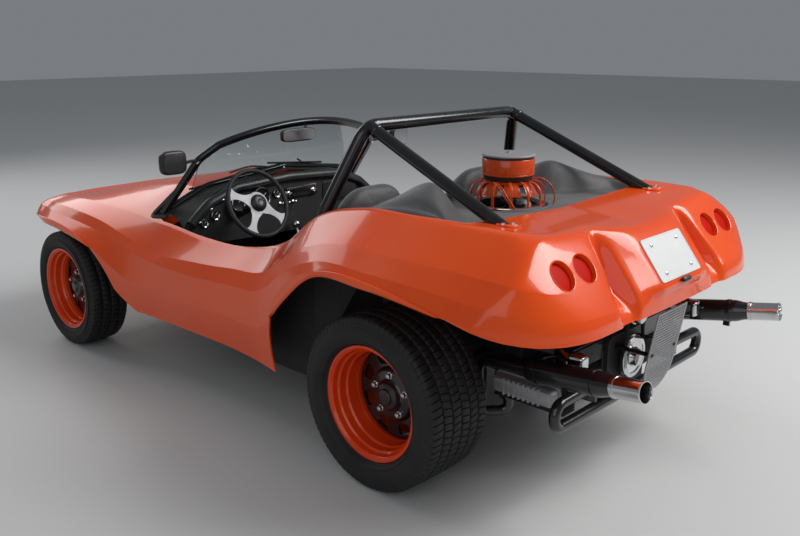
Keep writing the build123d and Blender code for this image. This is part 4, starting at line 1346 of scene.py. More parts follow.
    def face(self, upper: Array, right: Array, knot: Array) -> Array:
        """Tail face from the centre line out: columns on the knots, then a patch to the side's edge.

        Args:
            upper: rear edge of the deck.
            right: rear edge of the side.
            knot: knot number of each inner column.

        Returns:
            Points (columns, rows, 3).
        """
        tail = self.tail
        v = shares_along(right)[None, :]
        count = len(knot)
        z = upper[:count, 2:3] * (1 - v) + tail.BASE_Z * v
        spread = lambda heights: np.stack([np.interp(k, np.arange(6), p) for k, p in
                                           zip(np.repeat(knot, heights.shape[1]),
                                               tail.places(heights).reshape(-1, 6))]).reshape(heights.shape)
        x = spread(z) + (upper[:count, 0:1] - spread(z[:, :1])) * (1 - v)
        left = np.stack([x[-1], z[-1]], -1)
        bottom_x = np.linspace(left[-1, 0], right[-1, 0], len(upper) - count + 1)
        bottom = np.stack([bottom_x, self.edge_z(tail.aft_at(bottom_x, 668.0))], -1)
        bottom[0], bottom[-1] = left[-1], right[-1, ::2]
        outer = self.patch(upper[count - 1:, ::2], bottom, left, right[:, ::2])
        xz = np.concatenate([np.stack([x, z], -1), outer[1:]])
        face = np.stack([xz[..., 0], tail.aft_at(xz[..., 0], xz[..., 1]), xz[..., 1]], -1)
        face[:, 0], face[-1] = upper, right
        return face

    def skin(self) -> Skin:
        """Whole outer surface of the left half and its mirror image.

        Returns:
            The skin.
        """
        form, tail = self.form, self.tail
        lip_aft, edge = self.columns()
        rear_share = np.concatenate([np.linspace(0, 0.86, 9), 1 - 0.022 * np.arange(6)[::-1]])
        seam_q = self.seam(lip_aft)
        side = self.side(lip_aft, edge, rear_share, seam_q)
        # Hood, up to the opening's front edge
        across = np.concatenate([np.linspace(0, 0.5, 12)[:-1], np.linspace(0.5, 0.78, 16)[:-1],
                                 np.linspace(0.78, 1, 9)])
        fore = lip_aft[lip_aft <= self.cowl_aft]
        hood_q = seam_q[0] * across
        front_edge = lambda x, z: np.interp(x, (0, 330, 500, 590), (-1352, -1385, -1448, -1530))
        hood_end = form.crossing(hood_q, front_edge, -1700, -1300)
        hood_end[-1] = self.cowl_aft
        share = (fore - fore[0]) / (fore[-1] - fore[0])
        hood_aft = fore[0] + (hood_end[:, None] - fore[0]) * share[None, :]
        x, z = form.at(hood_aft, hood_q[:, None])
        hood = np.stack([x, hood_aft, z], -1)
        # Deck, from the opening's rear edge to the tail
        deck_q, knot = self.deck_columns(seam_q[-1])
        rear_edge = lambda x, z: np.interp(x, (0, 425, 568), (256, 263, 250))
        deck_start = form.crossing(deck_q, rear_edge, 200, 400)
        deck_start[-1] = self.deck_aft
        deck_end = form.crossing(deck_q, tail.aft_at, 400, 800)
        deck_aft = deck_start[:, None] + (deck_end - deck_start)[:, None] * rear_share[None, :]
        x, z = form.at(deck_aft, deck_q[:, None])
        deck = np.stack([x, deck_aft, z], -1)
        face = self.face(deck[:, -1], side[:, -1], knot)
        # Nose end: from the first section down to the lower edge
        nose_top = np.concatenate([hood[:, 0], side[1:, 0]])
        nose_low = nose_top.copy()
        nose_low[:, 2] = np.interp(nose_low[:, 0], (0, 425, 426, 605), (602, 602, 622, 624))
        nose_low[:, 2] = np.minimum(nose_low[:, 2], nose_top[:, 2])
        depth = np.linspace(0, 1, 6)[None, :, None]
        nose = nose_top[:, None] * (1 - depth) + nose_low[:, None] * depth
        # Turned-down edge round the opening
        ring = np.concatenate([hood[:, -1], side[0, len(fore) - 1:len(lip_aft)], deck[::-1, 0]])
        drop = np.array([(0, 0, 0), (0, 0, -4), (0, 0, -30), (0, 0, -70)])
        self.crease = np.concatenate([deck[:, -1], side[:, -1]]) + (0, REAR_AXLE_Y, 0)
        skin = Skin()
        for part in (side, hood, deck, face, nose, ring[:, None] + drop[None]):
            skin.grid(part + (0, REAR_AXLE_Y, 0))
        return skin.mirrored()

    def softened(self, made: bpy.types.Object) -> None:
        """Round the crease between tail, deck and sides, and the edges of the tail panel a little.

        Args:
            made: the moulding.
        """
        points = places_of(made.data) / MM
        near = np.full(len(points), 1e9)
        rear = np.flatnonzero(points[:, 1] > aft(300))
        flat = np.abs(points[rear, 0])[:, None], points[rear, 1][:, None], points[rear, 2][:, None]
        gap = sum((flat[k] - self.crease[None, :, k])**2 for k in range(3))
        near[rear] = np.sqrt(gap.min(1))
        weights = np.clip(1.25 - near / 55, 0, 1)
        weights *= np.clip((points[:, 2] - 672) / 40, 0, 1)
        soften(made.data, weights, 26)
        panel = (points[:, 1] > aft(470)) & (points[:, 2] > 668)
        soften(made.data, panel * 0.8, 3)

    def build(self, shop: Workshop) -> bpy.types.Object:
        """Make the moulding: soften it, give it its wall, bore the lamp holes and add the cups.

        Args:
            shop: maker of pieces.

        Returns:
            The moulding.
        """
        body = self.skin().mesh("body_moulding", self.seam_gap)
        self.softened(body)
        thick = body.modifiers.new("wall", "SOLIDIFY")
        thick.thickness = self.wall * MM
        thick.offset = -1
        bores, cup = Skin(), Skin()
        r, d, out = self.lamp_radius, self.cup_depth, self.tail.outward()
        for centre in self.tail.lamps():
            bores.turned([(-40, 0), (-40, r), (30, r), (30, 0)], centre, out, 48)
            cup.turned([(-d - 5, 0), (-d - 4, r + 4), (-1, r + 5), (1.2, r + 2), (0.5, r - 0.2),
                        (-d + 2, r - 0.2), (-d, r - 2), (-d, 0)], centre, out, 48)
        carve(body, bores)
        shop.dress(body, Slot.BODY, Body.CHASSIS, ["body_shell"], crease=38)
        shop.piece(cup, "tail_lamp_cups", Slot.BODY, crease=50)
        return body


@dataclass(frozen=True)
class Corner:
    """One wheel: its place, its tyre, how deep its disc lies and its drum."""

    name: str
    side: int
    axle_aft: float
    radius: float
    inner: float
    outer: float
    lip: float
    disc: float
    drum: tuple[float, float]
    shaft: float
    ribs: int
    pitches: int

    def spot(self, x: float, reach: float, turn: float) -> Array:
        """Point at a distance from the axle and an angle round it, x out from the car's middle."""
        return np.array([self.side * x, aft(self.axle_aft) + reach * math.sin(turn),
                         self.radius + reach * math.cos(turn)])


@dataclass
class Wheels:
    """Four wheels: ribbed road tyres, deep painted rims and black centres."""

    wheelbase: float = 2167.0
    seat: float = 190.0
    well: float = 165.0
    groove: float = 9.0
    groove_floor: float = 5.0
    tread_depth: float = 8.0
    cut_depth: float = 4.5
    cuts: tuple = (0.0, 0.05, 0.13, 0.18, 0.59)
    windows: int = 8
    window_reach: float = 129.0
    nuts: int = 5
    nut_reach: float = 74.0

    def corners(self) -> list[Corner]:
        """The four wheels.

        Returns:
            The wheels.
        """
        front = (-self.wheelbase, 294.0, 585.0, 790.0, 777.0, 690.0, (582.0, 640.0), 15.0, 4, 74)
        rear = (0.0, 315.0, 490.0, 785.0, 761.0, 640.0, (470.0, 560.0), 18.0, 6, 78)
        return [Corner(f"{place}_{hand}", side, *sizes) for place, sizes in (("front", front), ("rear", rear))
                for hand, side in (("left", 1), ("right", -1))]

    def tread(self, w: Corner) -> list[tuple[float, float, float, float]]:
        """Rows across the tread: x from the middle, radius, depth of the cuts, shift round it in pitches.

        Args:
            w: the wheel.

        Returns:
            The rows, from the inner side out.
        """
        half = (w.outer - w.inner) / 2
        flat = half - 20
        rib = (2 * flat - (w.ribs - 1) * self.groove) / w.ribs
        crown = lambda x: w.radius - 3.2 * (abs(x) / (half - 32))**2
        rows = []
        for i in range(w.ribs):
            start = -flat + i * (rib + self.groove)
            shift, slant = 0.5 * (i % 2), 0.22 if i % 2 else -0.22
            for share, low in ((0, 1.6), (0.06, 0), (0.5, 0), (0.94, 0), (1, 1.6)):
                x = start + rib * share
                rows.append((x, crown(x) - low, self.cut_depth - low, shift + slant * (share - 0.5)))
            if i < w.ribs - 1:
                for step in ((self.groove - self.groove_floor) / 2, (self.groove + self.groove_floor) / 2):
                    x = start + rib + step
                    rows.append((x, crown(x) - self.tread_depth, 0, 0.25))
        return rows

    def wall(self, w: Corner, lip_side: bool) -> list[tuple[float, float, float, float]]:
        """Rows from the shoulder to the bead, with x from the tyre's middle outwards.

        Args:
            w: the wheel.
            lip_side: whether it is the wall on the rim lip's side.

        Returns:
            Rows like those of the tread.
        """
        half = (w.outer - w.inner) / 2
        bead = w.lip - (w.outer + w.inner) / 2 if lip_side else half - 1
        # In from the tyre's edge, in from its radius, depth of the cuts
        shoulder = ((15, 7, 4.5), (11.5, 15, 4), (9.5, 24, 3), (9, 28, 0), (7, 29.5, 0), (6.4, 33, 0),
                    (7, 35, 0))
        curve = smoothed([(half - 6, w.radius - 37), (half - 2, w.radius - 46), (half, 252),
                          (half - 1.5, 238), (half - 5, 229)], 4)
        end = (bead - 5, 209.5) if lip_side else (bead - 3, 213)
        seat = (bead - 10.6 if lip_side else half - 22, self.seat + 0.3)
        inner = [(half - 5.4, 227.5), (half - 3.6, 225.5), (half - 4.2, 222), (half - 8, 219),
                 ((half - 8 + end[0]) / 2 + 2, 214.5), end, (bead - 9, 199), seat]
        return ([(half - x, w.radius - r, cut, 0) for x, r, cut in shoulder]
                + [(x, r, 0, 0) for x, r in [*curve, *inner]])

    def tyre(self, w: Corner) -> Skin:
        """Tyre: rows across by columns round the axle, with cuts pressed into the ribs.

        Args:
            w: the wheel.

        Returns:
            The skin.
        """
        middle = (w.outer + w.inner) / 2
        inner = [(-x, r, cut, 0.11) for x, r, cut, _ in reversed(self.wall(w, False))]
        outer = [(x, r, cut, 0.61 if w.ribs % 2 == 0 else -0.11) for x, r, cut, _ in self.wall(w, True)]
        rows = np.array(inner + self.tread(w) + outer)
        turn = ((np.arange(w.pitches)[:, None] + np.array(self.cuts)).ravel()) * 2 * math.pi / w.pitches
        cut = np.tile((0, 1, 1, 0, 0), w.pitches)
        angle = turn[None] + rows[:, 3:4] * 2 * math.pi / w.pitches
        reach = rows[:, 1:2] - rows[:, 2:3] * cut[None]
        x = w.side * (middle + rows[:, :1] + 0 * angle)
        points = np.stack([x, aft(w.axle_aft) + reach * np.sin(angle), w.radius + reach * np.cos(angle)], -1)
        return Skin().grid(points, around=True, along=True)

    def rim(self, w: Corner) -> Skin:
        """Rim: a closed profile with a rolled lip and two steps down to the disc, turned round the axle.

        Args:
            w: the wheel.

        Returns:
            The skin.
        """
        lip, start = w.lip, w.inner + 14
        face = rounded([(lip - 4, 207.5), (lip, 207.4), (lip - 0.5, 199), (lip - 9, 189), (lip - 28, 185),
                        (lip - 34, 178), (lip - 60, 175.5), (lip - 67, 169), (w.disc + 12, 166.5),
                        (w.disc + 9, self.well), (w.disc - 14, self.well)],
                       (1.6, 6, 8, 4, 3, 4, 3, 1.5, 1.5), 4)
        back = [(w.disc - 30, 176), (start + 14, 183), (start, 186), (start + 8, self.seat),
                (start + 48, self.seat), ((w.inner + w.outer) / 2, 184), (lip - 14, self.seat),
                (lip - 10, self.seat)]
        return self.spun(w, np.concatenate([face, back]), True, 120)

    def spun(self, w: Corner, profile: Array, ring: bool, steps: int = 96) -> Skin:
        """Profile (x, distance from the axle) turned round the wheel's axle."""
        return Skin().turned(profile, (0, aft(w.axle_aft), w.radius), (w.side, 0, 0), steps, ring)

    def centre(self, w: Corner) -> Skin:
        """Disc with its hub cap and drum, one closed profile as in the frame's own piece.

        Args:
            w: the wheel.

        Returns:
            The skin.
        """
        d, (drum_in, drum_out), bore = w.disc, w.drum, w.shaft + 2
        edge = self.well - 0.4
        outline = rounded([(d - 8, edge), (d - 5, 156), (d - 6, 100), (d + 12, 90), (d + 14, 60),
                           (d + 20, 54), (d + 33, 46), (d + 36, w.shaft + 12), (d + 43, w.shaft + 9),
                           (d + 44, 14)],
                          (2, 3, 8, 3, 2, 3, 3, 3), 3)
        hidden = [(d + 44, 0), (d + 30, 0), (d + 30, bore), (drum_in, bore), (drum_in, 112),
                  (drum_in + 6, 112), (drum_in + 6, 119), (drum_in + 12, 119), (drum_in + 12, 115),
                  (drum_out, 117), (drum_out, 70), (d - 20, 70), (d - 14, 96), (d - 15, 150), (d - 16, edge)]
        return self.spun(w, np.concatenate([outline, hidden]), True)

    def window(self, w: Corner) -> Skin:
        """Cutter for the disc's windows: rounded openings, wider outside than inside.

        Args:
            w: the wheel.

        Returns:
            The skin.
        """
        skin = Skin()
        shape = loop_rect(40, 54, 12)
        shape[:, 1] *= 1 + 0.2 * shape[:, 0] / 20
        for turn in turns(self.windows, 0.5):
            out, along = (0, math.sin(turn), math.cos(turn)), (0, math.cos(turn), -math.sin(turn))
            ring = laid(shape, w.spot(w.disc - 60, self.window_reach, turn), out, along)
            skin.prism(ring, (w.side * 90, 0, 0))
        return skin

    def build(self, shop: Workshop) -> None:
        """Make the pieces of each wheel.

        Args:
            shop: maker of pieces.
        """
        for w in self.corners():
            body = f"wheel_{w.name}"
            shop.piece(self.tyre(w), f"road_tyre_{w.name}", Slot.TYRE, body, [f"tyre_{w.name}"], crease=50)
            shop.piece(self.rim(w), f"deep_rim_{w.name}", Slot.RIM, body, [f"rim_{w.name}"], crease=55)
            disc = self.centre(w).mesh(f"steel_centre_{w.name}")
            carve(disc, self.window(w))
            shop.dress(disc, Slot.PAINT, body, [f"wheel_centre_{w.name}"], crease=32)
            nuts = Skin()
            for turn in turns(self.nuts):
                nuts.turned([(0, 0), (0, 12), (3, 12), (3, 9), (16, 9), (18, 6), (18, 0)],
                            w.spot(w.disc + 12, self.nut_reach, turn), (w.side, 0, 0), 12)
            shop.piece(nuts, f"wheel_nuts_{w.name}", Slot.BRIGHT, body, crease=40)


@dataclass
class RollBar:
    """Black hoop behind the seats with two stays down to feet on the rear deck."""

    form: BodyForm
    hoop: float = 25.0
    stay: float = 22.5
    leg: tuple = (570.0, -425.0)
    top: tuple = (452.0, -312.0, 1212.5)
    foot: tuple = (476.5, 348.5)

    @staticmethod
    def slope(y: Array) -> Array:
        """Height of the sloped cabin wall's inner face at a distance aft."""
        return 242 + (y + 503.2) / 257 * 399.7

    def build(self, shop: Workshop) -> None:
        """Make hoop, stays, weld beads and feet.

        Args:
            shop: maker of pieces.
        """
        (x, y), (tx, ty, tz) = self.leg, self.top
        side = [(x, aft(y), self.slope(y)), (x, aft(y), 885), (tx, aft(ty), tz)]
        path = rounded(side + [(-a, b, c) for a, b, c in reversed(side)], (200, 80, 80, 200), 14)
        ring = tube_grid(path, self.hoop, 32)
        for end in (0, -1):
            ring[end, :, 2] = self.slope(ring[end, :, 1] - REAR_AXLE_Y)
        bar, plates = Skin().bar(ring), Skin()
        for side in (-1, 1):
            head = np.array([side * 432, aft(-308), tz - 2])
            foot = np.array([side * self.foot[0], aft(self.foot[1]), 930.0])
            bar.tube(np.linspace(head, foot, 8), self.stay, 28)
            down = unit(foot - head)
            bead = head + down * 42
            bar.turned([(-7, self.stay - 2), (-4, self.stay + 3.5), (2, self.stay + 4), (6, self.stay + 1.5),
                        (8, self.stay - 2)], bead, down, 32, ring=True)
            self.foot_plate(plates, side)
        shop.piece(bar, "roll_hoop", Slot.PAINT, replaces=["roll_bar"], crease=40)
        shop.piece(plates, "stay_feet", Slot.BODY, crease=40)
        bolts = Skin()
        for side in (-1, 1):
            for dx, dy in ((-27, 8), (27, 8), (0, 38)):
                x, y = self.foot[0] + dx, self.foot[1] + dy
                bolts.turned([(-3, 0), (-3, 8.5), (1, 8.5), (1, 6.5), (6, 6.5), (7, 5), (7, 0)],
                             (side * x, aft(y), self.plate_top(x, y)), UP, 6)
        shop.piece(bolts, "foot_bolts", Slot.BRIGHT, crease=30)

    def plate_top(self, x: float, y: float) -> float:
        """Height of the foot plate's top over a point."""
        return self.form.height(x, y) + 6.0

    def foot_plate(self, bar: Skin, side: int) -> None:
        """Plate under a stay that follows the deck, with rounded corners.

        Args:
            bar: skin that it is added to.
            side: 1 for the left side, -1 for the right one.
        """
        outline = loop_rect(70, 72, 22) + (self.foot[0], self.foot[1] + 9)
        over = np.array([self.plate_top(x, y) for x, y in outline])
        flat = np.stack([side * outline[:, 0], aft(outline[:, 1])], -1)
        layer = lambda drop, shrink: np.column_stack([flat + (flat.mean(0) - flat) * shrink, over - drop])
        bar.bar(np.stack([layer(7.6, 0), layer(1.5, 0), layer(0, 0.05)]))


@dataclass
class Windscreen:
    """Flat pane in a black frame that leans back over the cowl."""

    form: BodyForm
    foot_aft: float = -1560.0
    foot_z: float = 700.0
    rake: float = math.radians(47.5)
    width: float = 34.0
    depth: float = 26.0
    glass: float = 5.0
    brace: float = 220.0
    post: tuple = ((610.0, -80.0), (546.0, 425.0))
    corner: tuple = (474.0, 514.0)
    height: float = 622.0
    rail: float = 566.0

    def spot(self, x: Array, v: Array, proud: Array | float = 0.0) -> Array:
        """Points of the pane's plane: x across, v up the slope, and a distance stood off it.

        Args:
            x: places across.
            v: distances up the slope.
            proud: distances off the plane.

        Returns:
            Points (count, 3).
        """
        cos, sin = math.cos(self.rake), math.sin(self.rake)
        x, v, proud = np.broadcast_arrays(x, v, proud)
        place = self.foot_aft + v * cos - proud * sin
        return np.stack([x, aft(place), self.foot_z + v * sin + proud * cos], -1)

    def outline(self, inset: float) -> Array:
        """Frame outline (x, v) from the left foot over the top to the right foot, moved inwards.

        Args:
            inset: distance inwards.

        Returns:
            Points (count, 2).
        """
        corner_x, corner_v = self.corner
        arc = arc_through(self.corner, (0, self.height), (-corner_x, corner_v), np.linspace(0, 1, 33))
        left = rounded([*self.post, self.corner, arc[2]], (90, 70), 8)[:-1]
        path = np.concatenate([left, arc[2:-2], (left * (-1, 1))[::-1]])
        run = unit(np.gradient(path, axis=0))
        return path + inset * np.stack([-run[:, 1], run[:, 0]], -1)

    def post_x(self, v: float) -> float:
        """x of a post's middle line at a height up the slope."""
        (low_x, low_v), (high_x, high_v) = self.post
        return float(np.interp(v, (low_v, high_v), (low_x, high_x))) - self.width / 2

    def cowl_line(self, x: Array) -> Array:
        """v at which the pane's plane meets the cowl at each x, found by halving the step towards it.

        Args:
            x: places across.

        Returns:
            v at each of them.
        """
        v = np.full(len(x), 120.0)
        for _ in range(30):
            place = self.foot_aft + v * math.cos(self.rake)
            top = np.array([self.form.height(abs(a), b) for a, b in zip(x, place)])
            v += 0.6 * (top - self.foot_z - v * math.sin(self.rake))
        return v

    def build(self, shop: Workshop) -> None:
        """Make frame, cowl rail, pane, seal and clips.

        Args:
            shop: maker of pieces.
        """
        normal = unit(self.spot(0.0, 0.0, 1.0) - self.spot(0.0, 0.0))
        slope = self.spot(0.0, 1.0) - self.spot(0.0, 0.0)
        rail_x = np.linspace(-self.rail, self.rail, 41)
        rail_v = self.cowl_line(rail_x)
        level = lambda x: np.interp(np.abs(x), rail_x[20:], rail_v[20:])
        above = lambda line, gap: line[line[:, 1] > level(line[:, 0]) + gap]
        foot_v = float(rail_v[-1]) + 6
        ends = np.array([(self.post_x(foot_v), foot_v)])
        kept = np.concatenate([ends, above(self.outline(self.width / 2), 3), ends * (-1, 1)])
        run = unit(np.gradient(kept, axis=0))
        inward = self.spot(-run[:, 1], run[:, 0]) - self.spot(0.0, 0.0)
        post, rail = loop_rect(self.width, self.depth, 8), loop_rect(32, 25, 6)
        bar = Skin().bar(carried(self.spot(kept[:, 0], kept[:, 1]), inward, normal, post))
        bar.bar(carried(self.spot(rail_x, rail_v + 19), slope, normal, rail))
        shop.piece(bar, "screen_frame", Slot.PAINT, replaces=["windscreen_frame"], crease=45)
        self.cowl_pad(shop, rail_x, rail_v)
        self.feet_and_wipers(shop, rail_x, rail_v, kept[0])
        inner = above(self.outline(self.width - 3), 36)
        low_x = np.linspace(inner[-1, 0], inner[0, 0], 25)[1:-1]
        ring = np.concatenate([inner, np.stack([low_x, level(low_x) + 30], -1)])
        pane = Skin().prism(self.spot(ring[:, 0], ring[:, 1], -self.glass / 2), normal * self.glass)
        shop.piece(pane, "screen_pane", Slot.GLASS, replaces=["windscreen_glass"], crease=30)
        seal = above(self.outline(self.width), 34)
        beads = Skin()
        for proud in (-4.5, 4.5):
            beads.tube(self.spot(seal[:, 0], seal[:, 1], proud), 3.2, 8)
            beads.tube(self.spot(rail_x[2:-2], rail_v[2:-2] + 36, proud), 3.2, 8)
        shop.piece(beads, "screen_seal", Slot.TRIM, crease=60)
        screws = Skin()
        for x in (-420, -210, 0, 210, 420):
            at = self.spot(float(x), float(np.interp(x, rail_x, rail_v)) + 19, -self.depth / 2)
            screws.turned([(-1, 0), (-1, 6), (1.5, 5.4), (3, 2.5), (3.2, 0)], at, -normal, 16)
        shop.piece(screws, "screen_screws", Slot.BRIGHT, crease=40)

    def cowl_pad(self, shop: Workshop, rail_x: Array, rail_v: Array) -> None:
        """Padded sheet from the glass back over the hood's edge, down to the dashboard's roll.

        Each section runs straight from the rail to the roll, but never closer than 4 mm to the hood.

        Args:
            shop: maker of pieces.
            rail_x: x along the cowl rail.
            rail_v: v of the rail at each x.
        """
        sections = []
        for u in np.linspace(-1, 1, 61):
            x0, x1 = self.rail * u, 597 * u
            start = self.foot_aft + (np.interp(x0, rail_x, rail_v) + 26) * math.cos(self.rake)
            low = self.form.height(abs(x0), start) + 5
            high = np.interp(abs(x1), (0, 310, 466, 566, 600), (868, 852, 798, 716, 684)) + 19
            section = []
            for t in np.linspace(0, 1, 15):
                x, place = x0 + (x1 - x0) * t, start + (-1322 - start) * t
                over = self.form.height(abs(x), place) + 8 if abs(x) < 590 else 0
                section.append((x, aft(place), max(low + (high - low) * t + 9 * math.sin(math.pi * t), over)))
            section = np.array(section)
            sections.append(np.concatenate([section, section[::-1] - (0, 0, 6)]))
        shop.piece(Skin().bar(np.array(sections)), "cowl_pad", Slot.TRIM, crease=50)

    def feet_and_wipers(self, shop: Workshop, rail_x: Array, rail_v: Array, foot: Array) -> None:
        """Feet of the posts, which run forward on the hood, their braces, and two wipers at rest.

        Args:
            shop: maker of pieces.
            rail_x: x along the cowl rail.
            rail_v: v of the rail at each x.
            foot: x and v of the left post's lower end.
        """
        feet, braces, wipers = Skin(), Skin(), Skin()
        for side in (-1, 1):
            path, wide = [], []
            for s in np.linspace(34, -84, 12):
                x = foot[0] + 6 - 0.12 * s
                place = self.foot_aft + foot[1] * math.cos(self.rake) + s
                path.append((side * x, aft(place), self.form.height(x, place) + 4))
                wide.append(48 * math.sqrt(max(1 - max(-s - 40, 0)**2 / 45**2, 0.02)))
            path = np.array(path)
            rise = (self.form.height(foot[0] + 24, self.foot_aft)
                    - self.form.height(foot[0] - 12, self.foot_aft)) / 36
            across = unit(np.array([side, 0, rise]))
            feet.bar(np.array([laid(loop_rect(w, 7, 3, 3), p, across) for p, w in zip(path, wide)]))
            top_v = foot[1] + self.brace
            top = self.spot(side * self.post_x(top_v), top_v, -self.depth / 4)
            braces.tube(np.stack([path[-3] + (0, 0, 5), top]), 10.5, 20)
        shop.piece(feet, "screen_feet", Slot.TRIM, crease=45)
        shop.piece(braces, "screen_braces", Slot.PAINT, crease=45)
        level = lambda x: float(np.interp(x, rail_x, rail_v))
        for x in (-330.0, 60.0):
            arm = [self.spot(x, level(x) + 6, 24), self.spot(x + 130, level(x) + 34, 20),
                   self.spot(x + 240, level(x + 240) + 60, 12)]
            blade = [self.spot(x + end, level(x + end) + over, 8) for end, over in ((60, 48), (430, 66))]
            wipers.tube(smoothed(arm, 6), 4.2, 10).tube(blade, 5.0, 10)
            wipers.turned([(-6, 0), (-6, 12), (6, 12), (14, 8), (16, 0)], arm[0] - (0, 0, 12),
                          (0, -0.3, 1), 20)
        shop.piece(wipers, "wipers", Slot.PLASTIC, crease=45)


@dataclass
class Mirrors:
    """Two door mirrors on the screen posts and one in the middle of the screen."""

    door: tuple = (690.0, -1226.0, 1015.0)
    cabin: tuple = (88.0, -1128.0, 1092.0)
    glass: tuple = (0.0, 2.2, 0.0)

    def build(self, shop: Workshop) -> None:
        """Make shells, faces and arms.

        Args:
            shop: maker of pieces.
        """
        shells, faces, stems = Skin(), Skin(), Skin()
        axes = (REARWARD, LEFT, UP)
        x, y, z = self.door
        for side in (-1, 1):
            shells.pillow((side * x, aft(y) - 3, z), (20, 62, 50), axes, 0.5, 20, 44)
            faces.prism(laid(loop_rect(106, 82, 26, 6), (side * x, aft(y) + 16.6, z)), self.glass)
            shells.tube(smoothed([(side * 532, aft(-1281), 1000), (side * 575, aft(-1262), 1008),
                                  (side * (x - 38), aft(y) - 4, z - 10)], 6), 7, 14)
            stems.turned([(-4, 0), (-4, 13), (4, 13), (8, 9), (8, 0)], (side * 536, aft(-1279), 1000),
                         (side, 0.35, 0), 20)
        shop.piece(shells, "door_mirror_shells", Slot.PLASTIC, replaces=["door_mirrors"], crease=60)
        cx, cy, cz = self.cabin
        cabin = Skin().pillow((cx, aft(cy), cz), (9.5, 102, 30), axes, 0.5, 16, 44)
        arm = [(cx - 30, aft(cy) - 4, cz + 6), (35, aft(-1142), 1114), (8, aft(-1156), 1134)]
        cabin.tube(smoothed(arm, 6), 6, 14)
        shop.piece(cabin, "cabin_mirror_shell", Slot.PLASTIC, replaces=["cabin_mirror"], crease=60)
        faces.prism(laid(loop_rect(186, 46, 16, 6), (cx, aft(cy) + 8.4, cz)), self.glass)
        shop.piece(faces, "mirror_faces", Slot.BRIGHT, crease=50)
        shop.piece(stems, "mirror_clamps", Slot.BRIGHT, crease=50)


